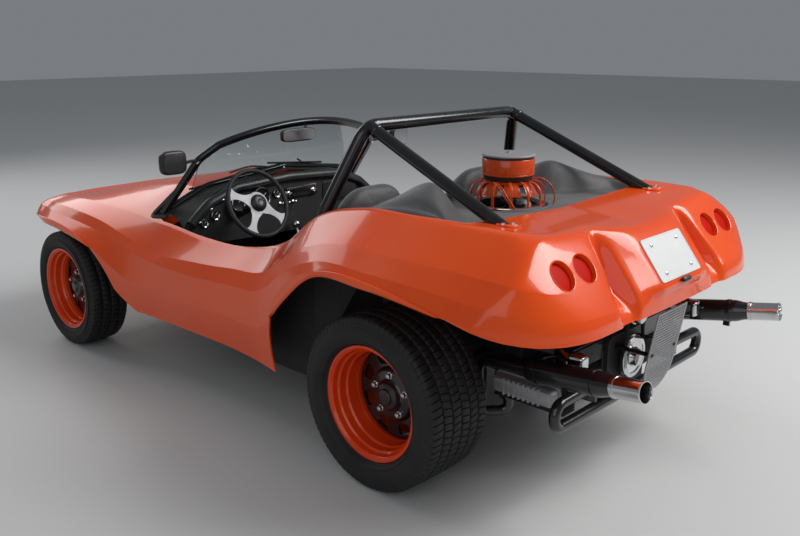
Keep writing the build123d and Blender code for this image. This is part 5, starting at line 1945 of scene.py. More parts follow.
@dataclass
class Cabin:
    """Dashboard with its gauges, steering wheel, gear lever and pedals."""

    dash_aft: float = -1340.0
    dash_deep: float = 28.0
    outline: tuple = ((0, 878), (320, 862), (480, 806), (586, 712), (600.4, 690), (600.4, 615), (0, 600))
    # x, z, radius and depth of each gauge, then x and z of each switch
    gauges: tuple = ((190, 792, 52, 30), (330, 790, 40, 40), (440, 745, 24, 10), (500, 715, 20, 10),
                     (82, 800, 22, 10))
    switches: tuple = ((535, 720), (470, 772), (405, 806), (60, 742), (20, 742), (-20, 742))
    wheel: tuple = (330.0, -1131.0, 806.0)
    rise: float = math.radians(25)
    ring: float = 153.0
    grip: float = 10.5
    spokes: tuple = (-24.0, 58.0, 140.0)
    pads: tuple = ((284, -1700, 540), (183, -1700, 530), (112, -1690, 470))
    pad_lean: float = math.radians(20)

    def hub(self) -> Array:
        """Centre of the steering wheel."""
        x, y, z = self.wheel
        return np.array([x, aft(y), z])

    def build(self, shop: Workshop) -> None:
        """Make all parts of the cabin.

        Args:
            shop: maker of pieces.
        """
        self.dashboard(shop)
        self.steering(shop)
        self.lever(shop)
        self.pedals(shop)

    def dashboard(self, shop: Workshop) -> None:
        """Panel, padded roll, gauges and switches.

        Args:
            shop: maker of pieces.
        """
        half = np.array(self.outline)
        around = np.concatenate([half, (half * (-1, 1))[-2:0:-1]])
        front = aft(self.dash_aft)
        face = front + self.dash_deep
        board = Skin().prism(laid(around, (0, front, 0)), (0, self.dash_deep, 0)).mesh("dash_panel")
        centre, along = self.hub(), leaning(self.rise)
        carve(board, Skin().tube([centre - along * 400, centre - along * 30], 19.5, 32))
        shop.dress(board, Slot.TRIM, Body.CHASSIS, ["dashboard"], bevel=2.0)
        line = [(566, 716), (466, 798), (310, 852), (0, 868)]
        line += [(-x, z) for x, z in line[-2::-1]]
        path = rounded(laid(line, (0, face, 0)), (120, 160, 500, 160, 120), 10)
        shop.piece(Skin().tube(path, 24, 24), "dash_roll", Slot.PLASTIC, crease=60)
        seam = path + unit(np.array([0, 1.0, -0.25])) * 24
        shop.piece(Skin().tube(seam, 1.6, 6), "dash_seam", Slot.TRIM, crease=60)
        dials, bezels, needles = Skin(), Skin(), Skin()
        for x, z, r, deep in self.gauges:
            at, needle = (x, face, z), face + deep - 3.5
            dials.turned([(-2, 0), (-2, r - 2), (deep - 2, r - 2), (deep - 5, r - 8), (deep - 5, 0)],
                         at, REARWARD, 48)
            bezels.turned([(deep - 6, r - 2), (deep - 6, r), (deep, r), (deep + 2, r - 2), (deep, r - 6),
                           (deep - 3, r - 7)], at, REARWARD, 48, ring=True)
            needles.tube([(x, needle, z), (x - 0.5 * r, needle, z + 0.4 * r)], 1.0, 6)
        for x, z in self.switches:
            bezels.turned([(0, 0), (0, 8), (4, 8), (5, 4), (16, 2.6), (20, 5), (26, 6), (28, 4), (28, 0)],
                          (x, face, z), (0, 1, 0.2), 16)
        self.radio(shop, face)
        shop.piece(dials, "gauge_dials", Slot.PLASTIC, crease=40)
        shop.piece(bezels, "gauge_bezels", Slot.BRIGHT, crease=50)
        shop.piece(needles, "gauge_needles", Slot.PLATE, crease=50)

    def radio(self, shop: Workshop, face: float) -> None:
        """Radio with a bright surround and a long scale, and the glove box lid with its handle.

        Args:
            shop: maker of pieces.
            face: Y of the dashboard's face.
        """
        plate = lambda x, z, width, height, radius: laid(loop_rect(width, height, radius, 3), (x, face, z))
        bright = Skin().prism(plate(-70, 790, 196, 58, 8), (0, 6, 0))
        bright.prism(plate(-70, 797, 150, 18, 4), (0, 11, 0)).prism(plate(-330, 812, 60, 9, 4), (0, 14, 0))
        dark = Skin().prism(plate(-70, 790, 184, 46, 6), (0, 8.5, 0))
        lid = Skin().prism(plate(-330, 765, 230, 105, 14), (0, 5, 0))
        shop.piece(lid, "glove_lid", Slot.PLASTIC, bevel=2, crease=30)
        for x in (-150, 10):
            bright.turned([(4, 0), (4, 15), (9, 15), (11, 12), (26, 11), (28, 9), (28, 0)],
                          (x, face, 782), REARWARD, 24)
        shop.piece(bright, "radio_trim", Slot.BRIGHT, crease=30)
        shop.piece(dark, "radio_scale", Slot.PLASTIC, bevel=1, crease=30)

    def steering(self, shop: Workshop) -> None:
        """Wheel with three flat spokes, and the column behind it.

        Args:
            shop: maker of pieces.
        """
        centre, along = self.hub(), leaning(self.rise)
        u = np.array(LEFT)
        v = np.cross(along, u)
        angle = turns(96)
        out = np.cos(angle)[:, None] * u + np.sin(angle)[:, None] * v
        section = turns(16)[None, :, None]
        thick = self.grip * (1 + 0.045 * np.cos(24 * angle))[:, None, None]
        rim = centre + out[:, None] * (self.ring + thick * np.cos(section)) + along * thick * np.sin(section)
        shop.piece(Skin().grid(rim, around=True, along=True), "wheel_grip", Slot.GRIP, Body.STEERING,
                   ["steering_wheel"], crease=60)
        spokes = Skin()
        side = smoothed([(20, 34), (44, 30), (72, 18), (104, 15), (128, 21), (self.ring - 12, 33),
                         (self.ring - 3, 42)], 4)
        flat = np.concatenate([side, (side * (1, -1))[::-1]])
        for degrees in self.spokes:
            a = math.radians(degrees)
            out, across = math.cos(a) * u + math.sin(a) * v, math.cos(a) * v - math.sin(a) * u
            spokes.prism(laid(flat, centre - along * 2.5, out, across), along * 5)
        spokes.turned([(-3.2, 0), (-3.2, 50), (0, 54), (3.2, 50), (3.2, 0)], centre, along, 48)
        shop.piece(spokes, "wheel_spokes", Slot.ALLOY, Body.STEERING, bevel=0.8, crease=30)
        hub = Skin().turned([(-45, 0), (-45, 9), (-13, 9), (-13, 36), (-9, 40), (6, 40), (14, 37), (20, 29),
                             (22, 16), (21, 14), (21, 0)], centre, along, 48)
        shop.piece(hub, "wheel_hub", Slot.PLASTIC, Body.STEERING, crease=35)
        column = Skin().turned([(0, 9.3), (0, 17), (2, 19), (60, 19), (62, 17), (66, 17), (68, 19), (845, 19),
                                (845, 9), (51, 9.3)], centre - along * 40, -along, 32, ring=True)
        shop.piece(column, "column_tube", Slot.PAINT, replaces=["steering_column"], crease=40)

    def lever(self, shop: Workshop) -> None:
        """Gear lever with a pleated boot, a bright shaft and a round knob.

        Args:
            shop: maker of pieces.
        """
        base = (0, aft(-1185), 366.3)
        pleats = [(0, 0), (0, 33), (4, 34), (8, 30), (12, 31), (16, 25), (20, 26), (24, 19), (28, 19),
                  (32, 12), (36, 9), (36, 0)]
        shop.piece(Skin().turned(pleats, base, UP, 40), "lever_boot", Slot.GRIP, crease=60)
        low, high = np.array([0, aft(-1187), 378.0]), np.array([0, aft(-1270), 638.0])
        path = smoothed([low, low + (high - low) * 0.4 + (0, 10, 0), high], 8)
        shop.piece(Skin().tube(path, 6, 16), "lever_shaft", Slot.BRIGHT, replaces=["gear_lever"], crease=50)
        knob = Skin().turned([(-22, 0), (-22, 8), (-18, 14), (-8, 19.5), (2, 21), (11, 18), (17, 12), (20, 6),
                              (21, 0)], high, high - low, 32)
        shop.piece(knob, "lever_knob", Slot.BRIGHT, crease=60)

    def pedals(self, shop: Workshop) -> None:
        """Pads with ribs on bent arms, over a hinge bar.

        Args:
            shop: maker of pieces.
        """
        arms, pads = Skin(), Skin()
        out, up = leaning(self.pad_lean), leaning(self.pad_lean + math.pi / 2)
        for x, y, z in self.pads:
            arm = [(x, aft(y) + 4, z - 10), (x, aft(y + 26), z - 110), (x, aft(y + 30), 250)]
            arms.tube(smoothed(arm, 6), 7, 12)
            middle = np.array([x, aft(y), z])
            pads.prism(laid(loop_rect(44, 70, 6, 3), middle - out * 4.5, LEFT, up), out * 6)
            for row in np.linspace(-26, 26, 5):
                rib = laid(loop_rect(40, 5, 5 / 2.2, 3), middle + out * 1.5 + up * row, LEFT, up)
                pads.prism(rib, out * 3.4)
        arms.block((95, aft(-1690), 241.4), (305, aft(-1640), 247))
        shop.piece(arms, "pedal_arms", Slot.PAINT, crease=40)
        shop.piece(pads, "pedal_pads", Slot.ALLOY, replaces=["pedals"], crease=35)


@dataclass
class SoftGoods:
    """Black vinyl seats and the padded surround of the engine hole."""

    seat_x: float = 300.0
    half_width: float = 200.0
    # aft, x and z of the wing's ridge
    ridge: tuple = ((-203, 365, 952), (-160, 368, 990), (-120, 370, 1014), (-60, 380, 1034),
                    (-30, 400, 1023), (0, 430, 1006), (40, 470, 984), (90, 510, 962), (140, 545, 948),
                    (180, 560, 944), (260, 575, 938))
    # aft, x where the wing starts
    foot: tuple = ((-203, 236), (-60, 252), (15, 294), (85, 424), (140, 520), (160, 545), (260, 568))
    # aft, flat z, outer edge z
    levels: tuple = ((-203, 895, 932), (-120, 897, 938), (0, 900, 944), (110, 903, 944),
                     (220, 906, 942), (318, 908, 930))
    base: float = 861.0
    hole: float = 151.0
    frames: int = 20
    pressure: float = 4.0
    swell: float = 8.0

    def build(self, shop: Workshop) -> None:
        """Make both seats and the surround.

        Args:
            shop: maker of pieces.
        """
        for hand, side in (("left", 1), ("right", -1)):
            back = self.pad(side, (-548, 285), (-388, 968), 52, 0.2, (1.0, 0.78), 5, 34)
            base = self.pad(side, (-1005, 352), (-585, 330), 62, 0.22, (1.0, 1.0), 5)
            self.soft(shop, back, f"seat_back_{hand}", [f"seat_{hand}"], 0.75)
            self.soft(shop, base, f"seat_base_{hand}", [], 0.75)
            frame = Skin()
            x = side * self.seat_x
            for dx in (-150, 150):
                frame.block((x + dx - 14, aft(-980), 241.4), (x + dx + 14, aft(-600), 262))
            frame.block((x - 165, aft(-970), 256), (x + 165, aft(-610), 290))
            shop.piece(frame, f"seat_frame_{hand}", Slot.PAINT, bevel=3)
        self.soft(shop, self.surround(), "engine_surround", ["rear_cover"], 0.8)

    def soft(self, shop: Workshop, pad: tuple[Array, Array, bool], name: str, replaces: list[str],
             fill: float) -> None:
        """Blow one padded piece up and finish it.

        Args:
            shop: maker of pieces.
            pad: its points, how freely each may move from 0 to 1, and whether the grid closes both ways.
            name: piece name.
            replaces: frame nodes that it stands for.
            fill: not used.
        """
        points, freedom, ring = pad
        skin = Skin().grid(points, around=True, along=True) if ring else Skin().bar(points)
        made = skin.mesh(name)
        self.blow_up(made, points.reshape(-1, 3), freedom.ravel())
        shop.dress(made, Slot.VINYL, Body.CHASSIS, replaces, crease=180, smooth=1)

    def blow_up(self, made: bpy.types.Object, places: Array, freedom: Array) -> None:
        """Simulate a pad as cloth under pressure, held at its seams, and write the result into its mesh.

        There is no gravity. Each point's move is cut to the cap times its freedom: it goes that length times
        the hyperbolic tangent of the simulated move over it.

        Args:
            made: the pad.
            places: points in millimetres whose freedom is known.
            freedom: 0 where the cover is sewn or glued down, 1 where it is free.
        """
        tree = KDTree(len(places))
        for index, place in enumerate(places * MM):
            tree.insert(place, index)
        tree.balance()
        free = np.array([freedom[tree.find(vertex.co)[1]] for vertex in made.data.vertices])
        start = places_of(made.data)
        sewn = made.vertex_groups.new(name="sewn")
        sewn.add(np.flatnonzero(free < 0.04).tolist(), 1.0, "REPLACE")
        cloth = made.modifiers.new("cover", "CLOTH")
        cloth.point_cache.frame_start, cloth.point_cache.frame_end = 1, self.frames
        cover = cloth.settings
        cover.quality = 4
        cover.vertex_group_mass = sewn.name
        cover.use_pressure = True
        cover.uniform_pressure_force = self.pressure
        cover.effector_weights.gravity = 0
        for frame in range(1, self.frames + 1):
            bpy.context.scene.frame_set(frame)
        shaped = made.evaluated_get(bpy.context.evaluated_depsgraph_get())
        move = places_of(shaped.data) - start
        made.modifiers.remove(cloth)
        made.vertex_groups.remove(sewn)
        length = np.maximum(np.linalg.norm(move, axis=1), 1e-9)
        cap = np.maximum(self.swell * MM * free, 1e-9)
        LOG.info("%s: median move %.1f mm, largest %.1f mm", made.name, np.median(length) / MM,
                 length.max() / MM)
        move *= (cap * np.tanh(length / cap) / length)[:, None]
        put(made.data, start + move)
        bpy.context.scene.frame_set(1)

    def pad(self, side: int, low: tuple, high: tuple, thick: float, corner: float, taper: tuple, pleats: int,
            drift: float = 0.0) -> tuple[Array, Array, bool]:
        """Padded slab between two points of the side view, with sewn channels on its upper face.

        Across the seat the girth is one less the seventh power of the share of the half width, raised to
        one over 4.5. Along it runs a rounded box section. The channels sink the face by a depth that falls
        off fast on both sides of each seam.

        Args:
            side: 1 for the left seat, -1 for the right one.
            low: aft and z of the lower end.
            high: aft and z of the upper end.
            thick: half thickness.
            corner: how much of the length is lost at the corners.
            taper: share of the width at the lower and the upper end.
            pleats: number of channels.
            drift: how far the upper end stands outwards.

        Returns:
            Points, how freely each may move, and that the grid doesn't close both ways.
        """
        rows, columns = 72, 96
        band = lambda value, end, fade: np.clip((end - np.abs(value)) / fade, 0, 1)
        s = np.sin(np.linspace(-math.pi / 2, math.pi / 2, rows))[:, None]
        turn = turns(columns)[None, :]
        girth = (1 - np.abs(s)**7)**(1 / 4.5)
        long = signed_power(np.cos(turn), 0.42) * np.ones_like(s)
        deep = signed_power(np.sin(turn), 0.7) * np.ones_like(s)
        low3 = np.array([0, aft(low[0]), low[1]])
        high3 = np.array([0, aft(high[0]), high[1]])
        length = np.linalg.norm(high3 - low3) / 2
        along = unit(high3 - low3)
        face = np.cross(along, (-1.0, 0, 0))
        wide = taper[0] + (taper[1] - taper[0]) * (long + 1) / 2
        seams = np.abs(s * (pleats + 1) / 2 - np.round(s * (pleats + 1) / 2))
        inside = band(s, 0.86, 0.1) * band(long, 0.9, 0.12) * (deep > 0)
        sink = 9.0 * np.exp(-(seams / 0.085)**1.2) * inside
        bolster = 15.0 * np.exp(-((np.abs(s) - 0.88) / 0.17)**2) * (deep > 0) * band(long, 0.97, 0.2)
        crown = 1 + 0.05 * np.cos(math.pi * s / 2)
        ends = (1 - corner * np.abs(s)**4) * (0.9 + 0.1 * crown) * np.minimum(1, girth + 0.35)
        reach_long = length * long * ends
        reach_deep = (thick * deep + bolster - sink) * girth
        points = (low3 + high3) / 2 + reach_long[..., None] * along + reach_deep[..., None] * face
        points[..., 0] = side * (self.seat_x + drift * (long + 1) / 2) + self.half_width * s * wide
        sewn = np.clip(seams / 0.3, 0, 1) * band(s, 0.97, 0.25) * inside
        return points, np.maximum(sewn, 0.3 * (deep < 0) * band(s, 0.9, 0.3)), False

    def top(self, x: Array, place: Array) -> Array:
        """Height of the surround: level inside, then a wing on each side.

        From its foot to its ridge the wing rises by the sine of a quarter turn, so it starts steeply. From
        the ridge to the outer edge it falls almost evenly. Running means both ways soften it.

        Args:
            x: places across.
            place: distances aft.

        Returns:
            Heights.
        """
        total = 0
        shifts = (-18, -9, 0, 9, 18)
        ridge, foot, levels = (np.array(table).T for table in (self.ridge, self.foot, self.levels))
        for along in (-24, -8, 8, 24):
            read = lambda table, row: np.interp(place + along, table[0], table[row])
            ridge_x, ridge_z, foot_x = read(ridge, 1), read(ridge, 2), read(foot, 1)
            level, edge = read(levels, 1), read(levels, 2)
            for shift in shifts:
                across = np.abs(x) + shift
                up = np.clip((across - foot_x) / np.maximum(ridge_x - foot_x, 4), 0, 1)
                down = np.clip((across - ridge_x) / np.maximum(586 - ridge_x, 6), 0, 1)
                wing = level + (ridge_z - level) * np.sin(up * math.pi / 2)
                total = total + np.where(across < ridge_x, wing, ridge_z - (ridge_z - edge) * down**1.05)
        return total / (4 * len(shifts))

    def surround(self) -> tuple[Array, Array, bool]:
        """Padded surround: rings of points from the hole's wall over the top to the outer wall.

        Returns:
            Points, how freely each may move, and that the grid closes both ways.
        """
        corners = np.array([(0, 255), (424, 262), (567, 249), (582, -203), (0, -203)], float)
        half = []
        for a, b, count in zip(corners, corners[1:], (14, 12, 30, 30)):
            half.append(a + (b - a) * np.linspace(0, 1, count, endpoint=False)[:, None])
        half = np.concatenate(half + [corners[-1:]])
        outer = np.concatenate([half, (half * (-1, 1))[-2:0:-1]])
        around = len(outer)
        angle = np.arctan2(outer[:, 0], outer[:, 1])
        inner = np.stack([np.sin(angle), np.cos(angle)], -1) * self.hole
        share = np.concatenate([[0, 0.02, 0.05, 0.09], np.linspace(0.13, 0.92, 44), [0.95, 0.975, 0.99, 1.0]])
        flat = inner[None] + (outer - inner)[None] * share[:, None, None]
        span = np.linalg.norm(outer - inner, axis=1)[None]
        z = self.top(flat[..., 0], flat[..., 1])
        near_in, near_out = share[:, None] * span, (1 - share[:, None]) * span
        bead = 9.0 * np.exp(-((near_in - 11) / 8)**2) + 8.0 * np.exp(-((near_out - 14) / 9)**2)
        fall = 12 * np.clip(1 - near_in / 8, 0, 1)**2 + 14 * np.clip(1 - near_out / 9, 0, 1)**2
        sag = 1.2 * np.sin(flat[..., 0] / 47) * np.sin(flat[..., 1] / 39) * np.clip(near_out / 80, 0, 1)
        z = z + bead - fall + sag * np.clip(near_in / 60, 0, 1)
        seam = np.abs(np.abs(flat[..., 0]) - np.interp(flat[..., 1], *np.array(self.foot, float).T))
        z -= 3.0 * np.exp(-(seam / 4)**2) * np.clip(near_out / 40, 0, 1)
        top = np.stack([flat[..., 0], aft(flat[..., 1]), z], -1)
        wall = lambda line, level: np.stack([line[:, 0], aft(line[:, 1]), np.full(around, level)], -1)
        rings = [wall(inner, self.base), wall(inner, 880.0), *top, wall(outer, 880.0), wall(outer, self.base)]
        free = np.clip((near_in - 22) / 40, 0, 1) * np.clip((near_out - 24) / 40, 0, 1)
        free *= np.clip(seam / 26, 0, 1)
        still = np.zeros((2, around))
        return np.array(rings), 0.6 * np.concatenate([still, free, still]), True


@dataclass
class Engine:
    """Air-cooled flat four behind the axle: case, finned barrels, heads, covers, pulley and tinware."""

    case_x: float = 130.0
    case: tuple = (90.0, 545.0, 262.0, 520.0)
    barrels: tuple = (340.0, 470.0)
    level: float = 383.0
    head: tuple = (330.0, 405.0)
    pulley_z: float = 428.0
    dynamo_z: float = 600.0
    duct: float = 118.0
    duct_top: float = 893.0

    def build(self, shop: Workshop) -> None:
        """Make every group of the engine.

        Args:
            shop: maker of pieces.
        """
        shop.piece(self.block(), "engine_case", Slot.ENGINE, replaces=["engine"], bevel=2.5, crease=30)
        shop.piece(self.finned(), "barrel_fins", Slot.ENGINE, crease=35)
        shop.piece(self.covers(), "rocker_covers", Slot.ALLOY, bevel=1.2, crease=30)
        shop.piece(self.bright(), "polished_fittings", Slot.BRIGHT, crease=40)
        shop.piece(self.tin(), "engine_tinware", Slot.PAINT, bevel=1.5, crease=30)
        shop.piece(self.belt(), "fan_belt", Slot.GRIP, crease=40)
        shop.piece(self.leads(), "spark_leads", Slot.PLASTIC, crease=60)

    def block(self) -> Skin:
        """Case with ribs, sump and bearing bosses, intake pipes and the pushrod tubes.

        Returns:
            The skin.
        """
        a, b, low, high = self.case
        skin = Skin()
        path = np.array([(0, aft(a), (low + high) / 2), (0, aft(b), (low + high) / 2)])
        skin.bar(carried(path, LEFT, UP, loop_rect(2 * self.case_x, high - low, 28, 5)))
        for y in np.linspace(a + 30, b - 20, 9):
            for side in (-1, 1):
                x = side * (self.case_x + 3)
                skin.block((x - 5, aft(y) - 4, low + 40), (x + 5, aft(y) + 4, high - 45))
        for x in np.linspace(-100, 100, 9):
            skin.block((x - 3, aft(a) + 30, low - 8), (x + 3, aft(b) - 40, low + 4))
        for side in (-1, 1):
            for y in self.barrels:
                for shift in (-20, 14):
                    skin.tube([(side * (self.case_x - 10), aft(y + shift), self.level - 76),
                               (side * (self.head[0] + 5), aft(y + shift), self.level - 62)], 10, 16)
        skin.tube([(0, aft(0), z) for z in (600.0, 640.0, self.duct_top - 2)], self.duct, 64)
        skin.block((-118, aft(-98), high - 58), (118, aft(298), 698))
        skin.block((-38, aft(452), high), (38, aft(528), self.dynamo_z - 32))
        return skin

    def finned(self) -> Skin:
        """Barrels and heads with thin cooling fins.

        Returns:
            The skin.
        """
        skin = Skin()
        for side in (-1, 1):
            for y in self.barrels:
                profile = [(0, 0), (0, 46)]
                for x in np.arange(12, 196, 9.5):
                    profile += [(x, 46), (x + 0.6, 62), (x + 3.4, 62), (x + 4, 46)]
                profile += [(202, 46), (202, 0)]
                skin.turned(profile, (side * (self.case_x - 2), aft(y), self.level), (side, 0, 0), 40)
            front, back = aft(self.barrels[0] - 76), aft(self.barrels[1] + 76)
            for z in np.arange(self.level - 62, self.level + 66, 9.0):
                skin.block((side * (self.head[0] + 2), front, z), (side * (self.head[1] - 1), back, z + 3.6))
            skin.block((side * self.head[0], front + 12, self.level - 64),
                       (side * (self.head[1] - 8), back - 12, self.level + 64))
        return skin

    def covers(self) -> Skin:
        """Pressed rocker covers with a flange, a raised middle and ribs.

        Returns:
            The skin.
        """
        skin = Skin()
        front, back = aft(self.barrels[0] - 64), aft(self.barrels[1] + 68)
        for side in (-1, 1):
            layers = []
            for x, grow, radius in ((404, 0, 18), (410, 0, 18), (411, -7, 16), (440, -10, 15), (449, -16, 12),
                                    (451.5, -24, 10)):
                ring = loop_rect(back - front + 2 * grow, 76 + 2 * grow, radius, 4)
                layers.append(laid(ring, (side * x, (front + back) / 2, self.level), REARWARD))
            skin.bar(np.array(layers))
            for y in (front + back) / 2 + np.linspace(-70, 70, 8):
                skin.block((side * 430, y - 3, self.level - 30), (side * 451.8, y + 3, self.level + 30))
        return skin

    def bright(self) -> Skin:
        """Polished bits: pulley, dynamo end, filler, carburettor throats and the intake manifold's ends.

        Returns:
            The skin.
        """
        skin = Skin()
        back = aft(self.case[1])
        skin.turned([(0, 0), (0, 30), (17, 30), (18, 76), (20, 78), (22, 73), (25, 70), (28, 73), (30, 78),
                     (32, 76), (33, 62), (30, 58), (30, 36), (38, 32), (50, 30), (52, 26), (52, 0)],
                    (0, back, self.pulley_z), REARWARD, 64)
        skin.turned([(-6, 0), (-6, 46), (0, 49), (6, 52), (136, 52), (140, 50), (142, 46), (158, 44),
                     (160, 40), (160, 0)], (0, aft(440), self.dynamo_z), REARWARD, 48)
        skin.turned([(-50, 0), (-50, 26), (92, 26), (93, 33), (98, 35), (110, 35), (113, 32), (113, 0)],
                    (95, aft(500), 518), UP, 40)
        for side in (-1, 1):
            skin.pillow((side * 402, aft(590), 520), (24, 30, 32), (LEFT, REARWARD, UP), 0.42, 16, 28)
            elbow = [(396, aft(560), 512), (372, aft(500), 520), (360, aft(440), 492), (360, aft(420), 452)]
            skin.tube(smoothed(elbow, 6) * (side, 1, 1), 19, 20)
        return skin

    def tin(self) -> Skin:
        """Black cooling tin over the barrels and behind the case, and the fan drum's bands.

        Returns:
            The skin.
        """
        skin = Skin()
        high = self.case[3]
        skin.block((-328, aft(122), high - 7), (328, aft(528), high + 8))
        for side in (-1, 1):
            for y in (150, 230, 310, 390, 470):
                skin.block((side * 150, aft(y), high + 8), (side * 315, aft(y) + 7, high + 12))
            skin.block((side * 150, aft(530), 452), (side * 330, aft(533), 520))
        for z in (660, 760, 860):
            skin.turned([(-6, self.duct - 2), (-6, self.duct + 3), (6, self.duct + 3), (6, self.duct - 2)],
                        (0, aft(0), z), UP, 64, ring=True)
        return skin

    def belt(self) -> Skin:
        """Belt round pulley and dynamo: two arcs joined by straight runs.

        Returns:
            The skin.
        """
        y = aft(self.case[1]) + 25
        low, high, r, s = self.pulley_z, self.dynamo_z, 74.0, 47.0
        tilt = math.asin((r - s) / (high - low))
        a = np.linspace(math.pi - tilt, 2 * math.pi + tilt, 40)
        b = np.linspace(tilt, math.pi - tilt, 30)
        path = np.concatenate([np.stack([r * np.cos(a), np.full(40, y), low + r * np.sin(a)], -1),
                               np.stack([s * np.cos(b), np.full(30, y), high + s * np.sin(b)], -1)])
        ahead = unit(np.roll(path, -1, 0) - np.roll(path, 1, 0))
        section = np.array([(-5, -3), (5, -3), (6, 4), (-6, 4)], float)
        ring = carried(path, REARWARD, np.cross(ahead, REARWARD), section)
        return Skin().grid(ring, around=True, along=True)

    def leads(self) -> Skin:
        """Ignition leads from the distributor to the heads.

        Returns:
            The skin.
        """
        skin = Skin()
        skin.turned([(0, 0), (0, 24), (46, 24), (50, 32), (72, 32), (80, 24), (92, 18), (92, 0)],
                    (-70, aft(480), 520), (0, 0.1, 1), 32)
        for side in (-1, 1):
            for y, lift in zip(self.barrels, (40, 62)):
                route = [(-70 + 12 * side, aft(480), 600), (-70 + 60 * side, aft(484), 618 + lift / 3),
                         (side * 200, aft(y + 24), 560 + lift), (side * 318, aft(y + 10), 534 + lift / 4),
                         (side * 352, aft(y), 500), (side * 356, aft(y), 452)]
                skin.tube(smoothed(route, 7), 4, 8)
        return skin


@dataclass
class Intake:
    """Orange cage and drum-shaped air cleaner that stand out of the surround."""

    ribs: int = 13
    vanes: int = 8
    blades: int = 14
    foot: float = 136.0
    head: float = 82.0
    low: float = 893.3
    top: float = 1000.0

    @staticmethod
    def at(z: float) -> Array:
        """Point on the intake's axis."""
        return np.array([0, aft(0), z])

    @staticmethod
    def spokes(count: int, start: float = 0.0) -> list[tuple[Array, Array]]:
        """Unit vectors out from the axis and round it, at even steps of a turn."""
        return [(np.array([math.cos(a), math.sin(a), 0]), np.array([-math.sin(a), math.cos(a), 0]))
                for a in turns(count, start)]

    def build(self, shop: Workshop) -> None:
        """Make ring, ribs, mouth, cleaner and leads.

        Args:
            shop: maker of pieces.
        """
        ring = Skin().turned([(0, 114), (0, 144), (13, 144), (16, 141), (16, 117), (13, 114)],
                             self.at(self.low), UP, 96, ring=True)
        shop.piece(ring, "cage_ring", Slot.PAINT, crease=40)
        trim = Skin().turned([(13, 145), (15, 148), (18, 147), (18, 143), (15.8, 142)],
                             self.at(self.low), UP, 96, ring=True)
        shop.piece(trim, "cage_rim", Slot.BRIGHT, crease=50)
        self.cage(shop)
        self.mouth(shop)
        self.cleaner(shop)
        self.leads(shop)

    def cage(self, shop: Workshop) -> None:
        """Curved straps from the ring to the cleaner and the vanes behind them.

        Args:
            shop: maker of pieces.
        """
        cage = Skin()
        section = loop_rect(12, 4.4, 1.8, 2)
        line = rounded([(self.foot + 5, self.low + 13), (self.foot + 8, self.top - 14),
                        (self.head + 2, self.top + 2)], 44, 12)
        for out, along in self.spokes(self.ribs, 0.5):
            path = laid(line, self.at(0), out)
            ahead = unit(np.gradient(path, axis=0))
            cage.bar(carried(path, along, np.cross(ahead, along), section))
        cage.turned([(-13, 0), (-13, 84), (-10, 88), (-2, 88), (0, 85), (0, 0)], self.at(self.top), UP, 64)
        cage.turned([(12, 136), (12, 146), (15, 146), (18, 141), (18, 136)], self.at(self.low), UP, 96,
                    ring=True)
        shop.piece(cage, "cage_ribs", Slot.CAGE, replaces=["intake_cage"], crease=40)
        vanes = Skin()
        wall = np.array([(-6, 86), (-20, 104), (-44, 118), (-50, 121), (-50, 118), (-42, 114), (-18, 100),
                         (-6, 82)])
        for k in range(self.vanes):
            sweep = np.linspace(-0.29, 0.29, 9) + 2 * math.pi * k / self.vanes
            out = np.stack([np.cos(sweep), np.sin(sweep), 0 * sweep], -1)
            vanes.bar(self.at(self.top) + wall[None, :, 1:] * out[:, None] + wall[None, :, :1] * UP)
        shop.piece(vanes, "cage_vanes", Slot.CAGE, crease=40)

    def mouth(self, shop: Workshop) -> None:
        """Dark mouth with its blades, and two caps in it.

        Args:
            shop: maker of pieces.
        """
        mouth = Skin().turned([(-3, 0), (-3, 112), (4, 110), (0, 96), (-1, 20), (22, 18), (24, 14), (24, 0)],
                              self.at(self.low), UP, 64)
        for out, along in self.spokes(self.blades):
            blade = laid([(20, -10), (92, -16), (92, 14), (20, 8)], self.at(self.low + 4), out, along)
            blade[2:, 2] += 14
            mouth.prism(blade, (0, 0, 2.4))
        shop.piece(mouth, "fan_mouth", Slot.TRIM, crease=35)
        domes = Skin()
        for x, y, r, tall in ((-20, 62, 30, 26), (-62, 20, 20, 20)):
            domes.turned([(0, 0), (0, r), (tall * 0.5, r * 0.96), (tall * 0.85, r * 0.7), (tall, r * 0.3),
                          (tall, 0)], (x, aft(y), self.low + 6), UP, 32)
        shop.piece(domes, "mouth_caps", Slot.ALLOY, crease=40)

    def cleaner(self, shop: Workshop) -> None:
        """Drum-shaped cleaner: painted band between black seams, with a bright lid.

        Args:
            shop: maker of pieces.
        """
        top = self.at(self.top)
        band = [(19, 90), (20, 98.6), (22, 100), (25, 100), (26, 99), (28, 99), (29, 100), (50, 100.4),
                (80, 100), (82, 98.6), (82, 90)]
        shop.piece(Skin().turned(band, top, UP, 96, ring=True), "cleaner_band", Slot.CAGE,
                   replaces=["air_cleaner"], crease=40)
        seams = Skin().turned([(0.4, 0), (0.4, 84), (3, 93), (19.5, 96), (19.5, 0)], top, UP, 96)
        seams.turned([(81, 0), (81, 96), (91, 96.5), (91, 0)], top, UP, 96)
        shop.piece(seams, "cleaner_seams", Slot.PLASTIC, crease=40)
        lid = [(90, 0), (90, 98), (92, 101.5), (96, 101.5), (98.5, 98), (98, 90), (100, 60), (101, 20),
               (101, 9), (107, 8), (108, 0)]
        shop.piece(Skin().turned(lid, top, UP, 96), "cleaner_lid", Slot.ALLOY, crease=40)

